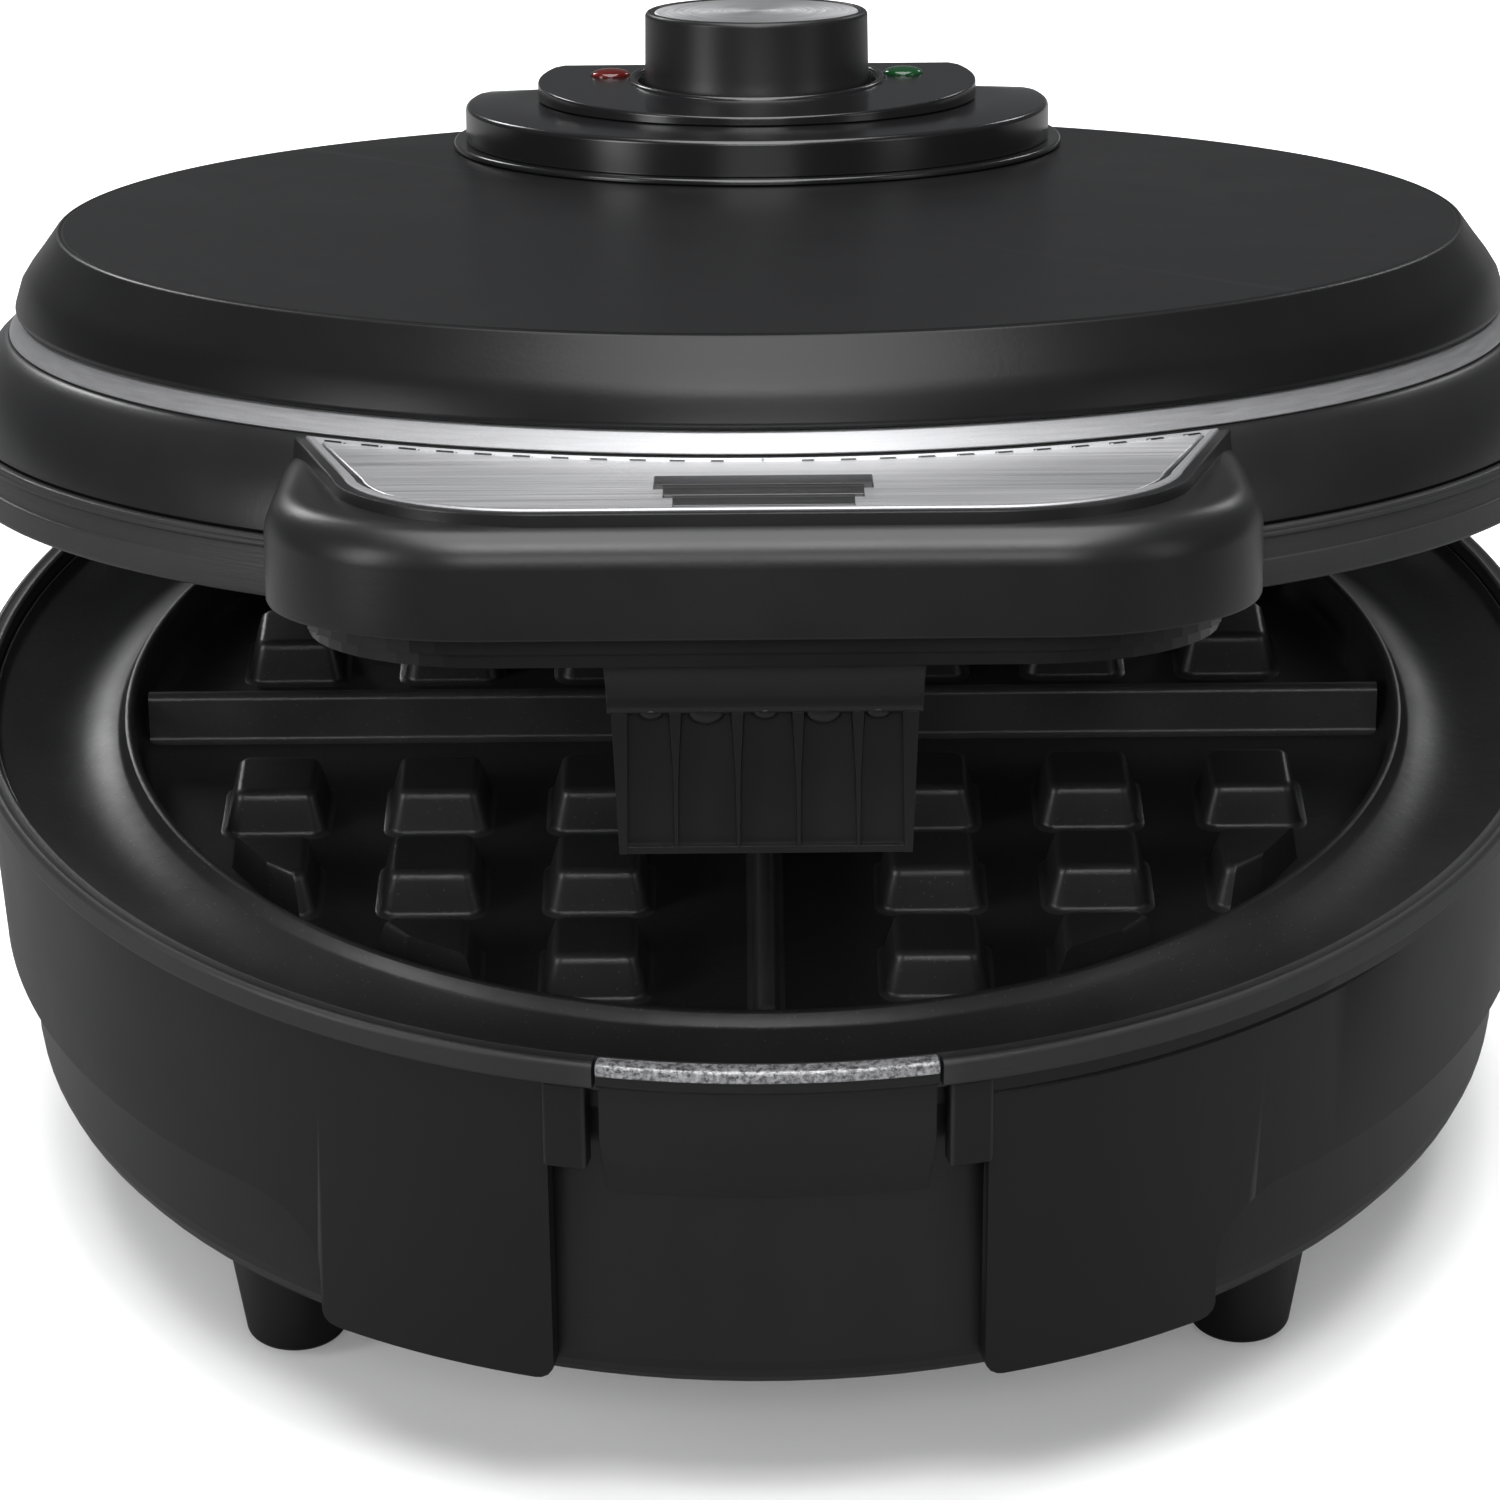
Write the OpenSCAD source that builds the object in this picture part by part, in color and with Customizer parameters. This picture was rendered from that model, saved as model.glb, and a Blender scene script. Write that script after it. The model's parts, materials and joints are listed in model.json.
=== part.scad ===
// Round electric waffle maker with a hinged lid, a sprung latch and a browning dial.
// Origin: centre of the base on the plane that the feet stand on. +Z up, the handle faces -Y.
// The lid is drawn shut and then turned about the hinge by lid_open.

/* [Base] */
// Outside radius of the skirt at its top edge
skirt_r = 112.5; // [112:0.1:113]
// How much the skirt's radius shrinks towards its lower edge
skirt_taper = 2.3; // [1.8:0.1:2.6]
// Outside radius of the bowl under the skirt
bowl_r = 107.5; // [107:0.1:107.8]
// Height of the bowl's underside above the table
bowl_z = 20; // [19:0.5:22]
// Height of the skirt's lower edge along the sides and the back
skirt_side_z = 41; // [38:0.5:44]
// Half width of the low front part of the skirt
skirt_front_half = 60.3; // [56:0.1:64]
// Outside radius of the rim ring
rim_r = 114; // [113.8:0.1:114.4]
// Height of the top of the rim ring above the table
rim_z = 75; // [74.5:0.1:75.2]
// Wall thickness of the moulded shells
wall = 2.2; // [1.8:0.1:2.3]

/* [Cooking plates] */
// Radius of the round that the plates bake
bake_r = 89; // [86:0.5:89.5]
// Distance between neighbouring pegs
peg_pitch = 23; // [22:0.5:24]
// Side of a square peg
peg_side = 14; // [12:0.5:15]
// Depth of the hollow in each plate
bake_depth = 7.8; // [7:0.1:8]

/* [Lid] */
// Angle that the lid stands open at rest, in degrees
lid_open = 14.5; // [0:0.5:80]
// Height of the lid's lower edge when it is shut
lid_z = 76; // [75.9:0.1:76.2]
// Radius of the flat top
lid_top_r = 99.2; // [98:0.1:100]
// Height of the flat top when the lid is shut
lid_top_z = 110.2; // [109:0.1:111]

/* [Hinge] */
// Distance of the hinge axis behind the centre
hinge_y = 121.5; // [121:0.1:123]
// Height of the hinge axis above the table
hinge_z = 75.5; // [75:0.1:76]
// Radius of the hinge knuckles
knuckle_r = 6; // [5.5:0.1:6]
// Radius of the hinge pins
hinge_pin_r = 3; // [2.5:0.1:3.2]

/* [Handle and latch] */
// Half width of the handle
handle_half = 61.5; // [58:0.5:62]
// How far the handle's front edge is from the centre
handle_reach = 142; // [140:0.5:145]
// Half width of the latch's grip bar
latch_half = 20.1; // [18:0.1:21]
// Height of the latch's lower edge when the lid is shut
latch_low_z = 48.6; // [47:0.1:54]

/* [Dial] */
// How far the dial's axis is behind the lid's centre
dial_y = 72; // [71:0.5:73]
// Radius of the knob
knob_r = 17.4; // [16:0.1:18]
// Height of the knob
knob_h = 11.8; // [11:0.1:13]

/* [Hidden] */

$fn = 96;
far = 400;              // longer than anything in the model
fit = 0.05;             // gap between parts that are fixed together
run = 0.05;             // radial clearance of a turning pin
seam = 0.3;             // gap between shells that meet

// ---- levels in the base ----
skirt_low_z = 22.6;
skirt_top_z = rim_z - 4;
bowl_round = 6;
bowl_top_z = 65;
lip_z = 70.8;
bake_floor_z = lip_z - bake_depth;
plate_t = 4.5;
plate_under_z = bake_floor_z - plate_t;
element_r = 3.25;
element_ring_r = 50;
heater_gap = 16;        // angle left open between the heater's ends
heater_pin_turn = -90 + heater_gap / 2 + 3;
pin_x = element_ring_r * cos(heater_pin_turn);
pin_y = element_ring_r * sin(heater_pin_turn);
post_ring_r = 75;
boss_low_z = 52;
reflector_z = 45;
rebate_z = skirt_top_z - 1.7;
rebate_r = skirt_r - 1.1;
block_y = 57;
block_z = bowl_z + wall + 2 * fit;
cord_z = 53;
cord_bore_r = 3.6;
gland_neck_r = 6;
foot_x = 66.6;
foot_y = 62;
foot_pad_h = 3;

// ---- the hinge ----
ear_in = 30.9;
ear_out = 38;
knuckle_in = 21.5;
knuckle_out = 29.6;
bracket_screw_x = 34.5;
bracket_screw_z = 60;
lid_bracket_screw_x = 25.5;
lid_bracket_screw_z = 88.5;

// ---- the latch pocket in the front of the skirt ----
pocket_half = 28.7;
pocket_top_z = 58;
slot_half = 23.5;
keeper_half = 21.9;
keeper_r = 112.2;

// ---- levels in the lid, shut ----
plate_gap = 0.8;
upper_lip_z = lip_z + plate_gap;
upper_floor_z = upper_lip_z + bake_depth;
upper_top_z = upper_floor_z + plate_t;
rim_bead_z = 83.8;
band_top_z = 96.1;
trim_top_z = 99;
lug_low_z = 83;
lug_h = 2.4;
plate_lug_r = 101;
shell_lug_r = 96.5;
upper_reflector_z = 94.4;
lid_rim_r = 113.2;
band_low_r = 112;
band_top_r = 106.2;
flange_r = band_low_r - wall - 0.5;
trim_low_r = 105.9;
trim_top_r = 104.4;
shoulder_r = 104.9;
// the band's outside, from its foot up, as [radius, height]
band_curve = [[band_low_r, rim_bead_z], [111, 89], [109, 92.8], [band_top_r, band_top_z]];

// ---- the handle ----
handle_low_z = 80.8;
handle_top_z = 95.6;
handle_back_y = -84;
cover_low_z = 76.3;
insert_z = 94.6;
handle_corner = 27;
handle_screw_x = 30;
handle_screw_z = 89.5;
badge_back = 118.5;
trim_reach = 138.5;
trim_back_half = 59.3;
trim_front_half = 51;
trim_corner = 17;

// ---- the latch ----
latch_pin_y = -120.5;
latch_pin_z = 78.6;
latch_pin_r = 1.5;
latch_face_y = -120.9;
latch_back_y = -116.4;
latch_bar_low_z = 66.6;
latch_bar_top_z = 75.6;
latch_lug_half = 16;
panel_half = 18.7;
spring_half = 5;

// ---- the dial ----
bezel_flange_z = lid_top_z + 1;
bezel_top_z = lid_top_z + 7;
dial_plate_z = lid_top_z + 10;
knob_z = dial_plate_z - 1.5;
plate_slope = 2.4;
shaft_r = 3;
shaft_hole_r = 6;
dial_back_y = 86.5;

// ---------------------------------------------------------------- helpers

// Places a part of the lid, drawn shut, where the open lid holds it
module on_lid()
    translate([0, hinge_y, hinge_z]) rotate([-lid_open, 0, 0]) translate([0, -hinge_y, -hinge_z])
        children();

// A hollow ring from a list of [radius, height] points
module turned(points) rotate_extrude($fn = 128) polygon(points);

// Points along an arc in a profile, from angle a0 to a1
function arc(cx, cy, r, a0, a1, n = 6) =
    [for (i = [0:n]) let (a = a0 + (a1 - a0) * i / n) [cx + r * cos(a), cy + r * sin(a)]];

// The four places of a group of four, at one radius
module around_four(r, turn = 45)
    for (k = [0:3]) rotate(turn + 90 * k) translate([r, 0, 0]) children();

// The two mirrored places of a pair
module both_sides() {
    children();
    mirror([1, 0, 0]) children();
}

// Keeps only what lies in front, within a half width
module front_only(half) intersection() {
    children();
    translate([-half, -far, 0]) cube([2 * half, far, far]);
}

// A bar along X, centred, from its YZ outline
module bar_x(half, outline)
    translate([-half, 0, 0]) rotate([90, 0, 90]) linear_extrude(2 * half) polygon(outline);

// A plate between two X positions, from its YZ outline
module slab_x(x0, x1, outline)
    translate([x0, 0, 0]) rotate([90, 0, 90]) linear_extrude(x1 - x0) polygon(outline);

// A rod along X between two positions
module rod_x(x0, x1, y, z, r) translate([x0, y, z]) rotate([0, 90, 0]) cylinder(h = x1 - x0, r = r);

// A rod along Y between two positions
module rod_y(x, y0, y1, z, r) translate([x, y0, z]) rotate([-90, 0, 0]) cylinder(h = y1 - y0, r = r);

// A screw pointing up, its head's underside at the origin
module screw_up(r, length, head_r, head_h) {
    cylinder(h = length, r = r);
    difference() {
        translate([0, 0, -head_h]) cylinder(h = head_h, r = head_r);
        translate([-head_r * 0.7, -0.4, -head_h - 1]) cube([head_r * 1.4, 0.8, 1.8]);
        translate([-0.4, -head_r * 0.7, -head_h - 1]) cube([0.8, head_r * 1.4, 1.8]);
    }
}

// An insulated wire through a few corners
module wire(points, r = 1.1)
    for (i = [0:len(points) - 2]) {
        step = points[i + 1] - points[i];
        length = norm(step);
        translate(points[i]) rotate([0, acos(step.z / length), atan2(step.y, step.x)])
            cylinder(h = length, r = r, $fn = 24);
        translate(points[i]) sphere(r = r * 1.12, $fn = 24);
    }

// Radius of the skirt's outside at a height
function skirt_r_at(z) = skirt_r - skirt_taper * (skirt_top_z - z) / (skirt_top_z - skirt_low_z);

// ---------------------------------------------------------------- base shells

module base_housing() color([0.05, 0.05, 0.055]) {
    difference() {
        turned(concat(
            [[0, bowl_z]],
            arc(bowl_r - bowl_round, bowl_z + bowl_round, bowl_round, -90, 0),
            [[bowl_r, bowl_top_z], [bowl_r - wall, bowl_top_z]],
            arc(bowl_r - bowl_round, bowl_z + bowl_round, bowl_round - wall, 0, -90),
            [[0, bowl_z + wall]]
        ));
        floor_vents();
        around_four(post_ring_r, 0) translate([0, 0, bowl_z - 1]) cylinder(h = wall + 2, r = 4.2);
        foot_places() translate([0, 0, bowl_z - 1]) cylinder(h = wall + 2, r = 2.1);
        rod_y(0, bowl_r - 12, bowl_r + 2, cord_z, gland_neck_r + fit);
        both_sides() rod_y(bracket_screw_x, bowl_r - 12, bowl_r + 2, bracket_screw_z, 2.1);
    }
    around_four(post_ring_r, 0) translate([0, 0, bowl_z]) screw_post();
    foot_places() translate([0, 0, bowl_z + wall - fit]) difference() {
        cylinder(h = 10, r = 5);
        translate([0, 0, -1]) cylinder(h = 12, r = 2.1);
    }
}

// A tube that carries the lower plate on a web near its top
module screw_post() {
    web = 3;
    height = boss_low_z - bowl_z - fit;
    difference() {
        union() {
            cylinder(h = height, r = 6);
            cylinder(h = reflector_z - bowl_z - fit, r = 8);
        }
        translate([0, 0, -1]) cylinder(h = height - web + 1, r = 4.2);
        cylinder(h = height + 1, r = 2.1);
    }
}

module floor_vents()
    for (row = [-3:3], side = [-1, 1])
        translate([side * 26 - 16, row * 9 - 1.5, bowl_z - 1]) cube([32, 3, wall + 2]);

module base_skirt() color([0.04, 0.04, 0.045]) {
    difference() {
        skirt_wall(0);
        side_cut();
        mirror([0, 1, 0]) side_cut_back();
        // the pocket that the latch hangs in
        translate([-pocket_half, -far, 0]) cube([2 * pocket_half, far, pocket_top_z]);
        translate([-slot_half, -far, 0]) cube([2 * slot_half, far, far]);
        rim_rebate();
        // a fine line under the rim, beside the pocket
        for (side = [-1, 1]) rotate(-90 + side * 27 - 11.5) rotate_extrude(angle = 23, $fn = 128)
            translate([skirt_r - 0.75, skirt_top_z - 3.4]) square([2, 0.7]);
        rod_y(0, bowl_r, skirt_r + 2, cord_z, gland_neck_r + fit);
        both_sides() rod_y(bracket_screw_x, bowl_r - 12, skirt_r + 2, bracket_screw_z, 2.1);
    }
    // raised pads beside the latch slots
    difference() {
        front_only(pocket_half + 0.6) turned([
            [skirt_r - wall - 0.4, pocket_top_z], [skirt_r + 0.5, pocket_top_z],
            [skirt_r + 0.5, skirt_top_z], [skirt_r - wall - 0.4, skirt_top_z]
        ]);
        translate([-slot_half, -far, 0]) cube([2 * slot_half, far, far]);
        rim_rebate();
    }
    cord_pad();
}

// The skirt's plain wall, grown outwards by a margin
module skirt_wall(grow) turned([
    [skirt_r_at(skirt_low_z) - wall, skirt_low_z], [skirt_r_at(skirt_low_z) + grow, skirt_low_z],
    [skirt_r + grow, skirt_top_z], [skirt_r - wall, skirt_top_z]
]);

// The rebate along the skirt's top edge that the lower plate's edge sits in
module rim_rebate() turned([
    [skirt_r - 5, rebate_z], [rebate_r, rebate_z], [rebate_r, skirt_top_z + 1], [skirt_r - 5, skirt_top_z + 1]
]);

// What is cut from under the front half: an S-shaped step on each side
module side_cut() both_sides() {
    step_r = 10;
    rotate([90, 0, 0]) linear_extrude(far) {
        translate([skirt_front_half + step_r, -far]) square([far, far + skirt_side_z]);
        translate([skirt_front_half, -far]) square([far, far + skirt_side_z - step_r]);
        translate([skirt_front_half + step_r, skirt_side_z - step_r]) circle(r = step_r);
    }
}

// The back half is cut level
module side_cut_back() translate([-far, -far, -far]) cube([2 * far, far, far + skirt_side_z]);

// A flat pad for the cord's gland
module cord_pad() difference() {
    translate([-13, bowl_r - 1, cord_z - 11]) cube([26, skirt_r + 1.6 - bowl_r, 22]);
    translate([0, 0, bowl_z]) cylinder(h = far, r = skirt_r - wall, $fn = 128);
    rod_y(0, bowl_r - 4, skirt_r + 2, cord_z, gland_neck_r + fit);
}

module base_rim() color([0.16, 0.16, 0.165]) difference() {
    turned(concat(
        [[rim_r - 2.85, skirt_top_z], [rim_r - 0.5, skirt_top_z], [rim_r, skirt_top_z + 0.5]],
        arc(rim_r - 1, rim_z - 1, 1, 0, 90),
        arc(rim_r - 2.25, rim_z - 0.6, 0.6, 90, 180)
    ));
    // the strike's seat
    intersection() {
        translate([-keeper_half - 0.4, -far, 0]) cube([2 * keeper_half + 0.8, far, far]);
        difference() {
            cylinder(h = far, r = rim_r + 2, $fn = 128);
            cylinder(h = far, r = rim_r - 2.2, $fn = 128);
        }
    }
}

module latch_strike() color([0.72, 0.72, 0.73]) front_only(keeper_half) turned([
    [rim_r - 2.1, skirt_top_z], [rim_r + 0.2, skirt_top_z], [rim_r + 0.2, rim_z - 0.2],
    [rim_r - 0.1, rim_z + 0.1], [rim_r - 2.1, rim_z + 0.1]
]);

module latch_keeper() color([0.05, 0.05, 0.055]) front_only(keeper_half) turned([
    [bowl_r + 0.2, pocket_top_z - 6], [bowl_r + 1.2, pocket_top_z - 6], [keeper_r, pocket_top_z + 4],
    [keeper_r, skirt_top_z - 0.1], [rebate_r - 0.1, skirt_top_z - 0.1], [rebate_r - 0.1, rebate_z - 0.1],
    [109.7, rebate_z - 0.1], [108.7, 68], [108.7, bowl_top_z - 0.1], [bowl_r + 0.2, bowl_top_z - 0.1]
]);

// ---------------------------------------------------------------- lower plate and heater

// A peg, cut by the round's edge
module pegs(z, height) intersection() {
    for (sx = [-1, 1], sy = [-1, 1], i = [0:2], j = [0:2])
        if (norm([i + 1, j + 1]) < 3.7)
            translate([sx * peg_pitch * (i + 1) - peg_side / 2, sy * peg_pitch * (j + 1) - peg_side / 2, z])
                cube([peg_side, peg_side, height]);
    translate([0, 0, z - 1]) cylinder(h = height + 2, r = bake_r - 5);
}

// The cross that divides the round into quarters
module divider(z, height) for (turn = [0, 90]) rotate(turn)
    translate([-bake_r, -1.6, z]) cube([2 * bake_r, 3.2, height]);

module lower_plate() color([0.09, 0.09, 0.095]) difference() {
    union() {
        turned(concat(
            [[0, plate_under_z], [93, plate_under_z], [96, 63.8], [103, 63.8], [104.4, bowl_top_z + fit],
             [108.4, bowl_top_z + fit], [108.4, 68.2], [109.6, rebate_z + 0.1], [rim_r - 3, rebate_z + 0.1],
             [rim_r - 3, 72.8], [110.2, 72.8]],
            arc(100.3, 81, 14, -47, -122, 12),
            arc(91.6, lip_z - 0.7, 0.7, 45, 180, 4),
            [[bake_r + 1, bake_floor_z + 1.2], [bake_r - 0.2, bake_floor_z], [0, bake_floor_z]]
        ));
        pegs(bake_floor_z - fit, bake_depth - 1.5);
        divider(bake_floor_z - fit, bake_depth - 0.6);
        heater_ribs(plate_under_z - 5.5, 5.5 + fit);
        around_four(post_ring_r, 0) translate([0, 0, boss_low_z]) cylinder(h = plate_under_z - boss_low_z + fit, r = 5.5);
    }
    around_four(post_ring_r, 0) translate([0, 0, boss_low_z - 1]) cylinder(h = 8, r = 2.05);
}

// Two ribs that hold the tubular heater
module heater_ribs(z, height) translate([0, 0, z]) for (r = [element_ring_r - 6, element_ring_r + 4]) difference() {
    cylinder(h = height, r = r + 2);
    translate([0, 0, -1]) cylinder(h = height + 2, r = r);
    translate([-9, -far, -1]) cube([18, far, height + 2]);
}

// A tubular heater: a nearly closed ring with two ends that bend to the terminals
module heater(z, drop) {
    translate([0, 0, z]) rotate(-90 + heater_gap / 2) rotate_extrude(angle = 360 - heater_gap, $fn = 96)
        translate([element_ring_r, 0]) circle(r = element_r, $fn = 32);
    both_sides() translate([pin_x, pin_y, z]) {
        translate([0, 0, drop < 0 ? drop : 0]) cylinder(h = abs(drop), r = element_r - 0.75, $fn = 32);
        translate([0, 0, drop < 0 ? drop - 7 : drop - 1]) cylinder(h = 8, r = 1.2, $fn = 24);
    }
}

module lower_element() color([0.45, 0.42, 0.4]) heater(plate_under_z - element_r - 0.1, -14);

module lower_reflector() color([0.75, 0.75, 0.76]) difference() {
    turned([[0, reflector_z], [90, reflector_z], [96, reflector_z + 8], [95, reflector_z + 8],
            [89.6, reflector_z + 0.8], [0, reflector_z + 0.8]]);
    around_four(post_ring_r, 0) translate([0, 0, reflector_z - 1]) cylinder(h = 4, r = 6.1);
    translate([-14, -element_ring_r - 6, reflector_z - 1]) cube([28, 13, 4]);
    // room for the leads at the back
    translate([-12, 78, reflector_z - 1]) cube([24, 20, 12]);
}

module lower_plate_screws() color([0.7, 0.7, 0.7]) around_four(post_ring_r, 0)
    translate([0, 0, boss_low_z - 3 - 2 * fit]) screw_up(2, 9, 3.8, 2.4);

// ---------------------------------------------------------------- wiring in the base

module terminal_block() color([0.85, 0.83, 0.78]) difference() {
    translate([-18, block_y - 8, block_z]) cube([36, 16, 14]);
    for (i = [-1:1], side = [-1, 1])
        translate([i * 11, block_y + side * 4, block_z + 4]) cylinder(h = 12, r = 1.9, $fn = 32);
}

module terminal_screws() color([0.75, 0.62, 0.3])
    for (i = [-1:1], side = [-1, 1]) translate([i * 11, block_y + side * 4, block_z + 4]) difference() {
        cylinder(h = 9, r = 1.8, $fn = 32);
        translate([-2, -0.3, 8]) cube([4, 0.6, 2]);
    }

module base_leads() color([0.8, 0.78, 0.7]) both_sides() {
    wire([[2.4, bowl_r - 8, cord_z], [9, 90, cord_z - 6], [11, block_y + 9.2, block_z + 8]]);
    wire([[pin_x, pin_y, 32.8], [24, -30, 32], [28, 20, 34], [11, block_y - 9.2, block_z + 8]]);
}

module cord_gland() color([0.07, 0.07, 0.07]) difference() {
    union() {
        rod_y(0, bowl_r - 5, skirt_r + 2, cord_z, gland_neck_r);
        rod_y(0, skirt_r + 0.65, skirt_r + 3.6, cord_z, gland_neck_r + 2.5);
        rod_y(0, bowl_r - 6.5, bowl_r - wall - 0.4, cord_z, gland_neck_r + 1.6);
    }
    rod_y(0, bowl_r - 8, skirt_r + 6, cord_z, cord_bore_r);
}

// ---------------------------------------------------------------- feet

module foot_places() for (sx = [-1, 1], sy = [-1, 1]) translate([sx * foot_x, sy * foot_y, 0]) children();

module foot(sx, sy) color([0.05, 0.05, 0.05]) translate([sx * foot_x, sy * foot_y, 0]) difference() {
    rotate_extrude($fn = 64) polygon(concat(
        [[0, 1.6], [5.7, 1.6]], arc(6.1, 2.6, 1, -90, -20, 3), [[9.5, bowl_z - fit], [0, bowl_z - fit]]
    ));
    translate([0, 0, 1]) cylinder(h = foot_pad_h - 1, r = 4.6);
    translate([0, 0, 1]) cylinder(h = bowl_z - 4, r = 4);
    translate([0, 0, 1]) cylinder(h = far, r = 2.1);
}

module foot_front_left() foot(-1, -1);
module foot_front_right() foot(1, -1);
module foot_rear_left() foot(-1, 1);
module foot_rear_right() foot(1, 1);

module foot_pads() color([0.12, 0.12, 0.12]) foot_places()
    rotate_extrude($fn = 48) polygon(concat([[0, 0]], arc(3.5, 1, 1, -90, 0, 4), [[4.5, foot_pad_h - fit], [0, foot_pad_h - fit]]));

module foot_screws() color([0.7, 0.7, 0.7]) foot_places() translate([0, 0, bowl_z - 3 - fit]) screw_up(2, 14, 3.6, 2.4);

// ---------------------------------------------------------------- hinge

module hinge_bracket() color([0.05, 0.05, 0.055]) difference() {
    union() {
        both_sides() slab_x(ear_in, ear_out, [
            [104, 50], [116, 50], [hinge_y + 5, 60], [hinge_y + knuckle_r, hinge_z],
            [hinge_y - knuckle_r, hinge_z], [hinge_y - knuckle_r, 68], [104, 68]
        ]);
        both_sides() rod_x(ear_in, ear_out, hinge_y, hinge_z, knuckle_r);
        // the crossbar is the lid's stop when it is fully open
        bar_x(ear_in + 1, [
            [104, 54], [116, 54], [hinge_y + 8, 60], [hinge_y + 12, hinge_z - 10.5],
            [hinge_y + 4, hinge_z - 9.2], [hinge_y - 6, hinge_z - 9.2], [104, hinge_z - 9.2]
        ]);
    }
    translate([0, 0, skirt_low_z])
        cylinder(h = skirt_top_z - skirt_low_z, r1 = skirt_r_at(skirt_low_z) + fit, r2 = skirt_r + fit, $fn = 128);
    rod_x(-far / 2, far / 2, hinge_y, hinge_z, hinge_pin_r + fit / 2);
    both_sides() rod_y(bracket_screw_x, 100, hinge_y - 4, bracket_screw_z, 1.95);
    // room for the cord and its gland under the crossbar
    translate([-13.5, 0, 40]) cube([27, hinge_y - 2, cord_z + 11.3 - 40]);
    translate([-8, 0, 40]) cube([16, far, cord_z + 5.5 - 40]);
}

module hinge_bracket_screws() color([0.7, 0.7, 0.7]) both_sides()
    translate([bracket_screw_x, sqrt(pow(bowl_r - wall, 2) - pow(bracket_screw_x - 4, 2)) - 3, bracket_screw_z])
        rotate([-90, 0, 0]) screw_up(1.9, 17, 3.6, 2.4);

module hinge_pins() color([0.78, 0.78, 0.8]) both_sides() {
    rod_x(knuckle_in + 0.6, ear_out + 0.4, hinge_y, hinge_z, hinge_pin_r);
    rod_x(ear_out + 0.1, ear_out + 2.2, hinge_y, hinge_z, hinge_pin_r + 1.8);
}

module hinge_washers() color([0.7, 0.7, 0.72]) both_sides() difference() {
    rod_x(knuckle_out + 0.2, ear_in - 0.05, hinge_y, hinge_z, knuckle_r - 0.8);
    rod_x(knuckle_out - 1, ear_in + 1, hinge_y, hinge_z, hinge_pin_r + fit);
}

module lid_hinge_bracket() color([0.05, 0.05, 0.055]) on_lid() difference() {
    union() {
        both_sides() slab_x(knuckle_in, knuckle_out, [
            [hinge_y - knuckle_r, hinge_z], [hinge_y + knuckle_r, hinge_z], [hinge_y + 5, hinge_z + 12],
            [hinge_y - 2, hinge_z + 17], [104, hinge_z + 17], [104, hinge_z + 4.5], [hinge_y - 5.4, hinge_z + 4.5]
        ]);
        both_sides() rod_x(knuckle_in, knuckle_out, hinge_y, hinge_z, knuckle_r);
        bar_x(knuckle_in + 1, [
            [104, hinge_z + 6], [hinge_y - 1, hinge_z + 8], [hinge_y - 1, hinge_z + 14],
            [hinge_y - 4, hinge_z + 16], [104, hinge_z + 16]
        ]);
    }
    translate([0, 0, lid_z - 10]) cylinder(h = rim_bead_z - lid_z + 10.2, r = lid_rim_r + 0.5, $fn = 128);
    translate([0, 0, rim_bead_z]) cylinder(h = 20, r1 = band_low_r + 0.3, r2 = band_low_r - 3.6, $fn = 128);
    both_sides() rod_x(knuckle_in - 1, knuckle_out + 1, hinge_y, hinge_z, hinge_pin_r + run);
    both_sides() rod_y(lid_bracket_screw_x, 100, 118, lid_bracket_screw_z, 1.95);
}

module lid_bracket_screws() color([0.7, 0.7, 0.7]) on_lid() both_sides()
    translate([lid_bracket_screw_x, 104, lid_bracket_screw_z]) rotate([-90, 0, 0]) screw_up(1.9, 13, 3.4, 2.2);

// ---------------------------------------------------------------- lid shells

module lid_housing() color([0.04, 0.04, 0.045]) on_lid() difference() {
    union() {
        turned(concat(
            [[0, lid_top_z]],
            arc(lid_top_r - 2.5, lid_top_z - 2.5, 2.5, 90, 30),
            [[102.6, lid_top_z - 4.9], [104.2, lid_top_z - 7.6]],
            arc(shoulder_r - 1, trim_top_z + 1.1, 1, 20, -90, 4),
            [[shoulder_r - wall - 0.6, trim_top_z + 0.1], [102 - wall, lid_top_z - 5.4],
             [lid_top_r - 2.5, lid_top_z - wall], [0, lid_top_z - wall]]
        ));
        intersection() {
            shell_lugs() translate([0, 0, lug_low_z + lug_h + fit]) cylinder(h = 24, r = 4);
            turned([[0, lug_low_z], [101, lug_low_z], [101, 104], [98.5, lid_top_z - 1.6], [0, lid_top_z - 1.6]]);
        }
    }
    shell_lugs() translate([0, 0, lug_low_z]) cylinder(h = 11, r = 1.95);
    translate([0, dial_y, lid_top_z - 5]) cylinder(h = 10, r = shaft_hole_r);
    lens_places() translate([0, 0, lid_top_z - 5]) cylinder(h = 10, r = 3.2);
}

// The lid's eight lugs: every other one holds the plate, the rest hold the shell
module plate_lugs() for (k = [0:3]) rotate(22.5 + 90 * k) translate([plate_lug_r, 0, 0]) children();
module shell_lugs() for (k = [0:3]) rotate(67.5 + 90 * k) translate([shell_lug_r, 0, 0]) children();

module lid_trim_band() color([0.75, 0.75, 0.77]) on_lid() turned([
    [trim_low_r - 3.4, band_top_z + fit], [trim_low_r, band_top_z + fit], [trim_top_r, trim_top_z],
    [trim_top_r - 3.4, trim_top_z]
]);

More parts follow.
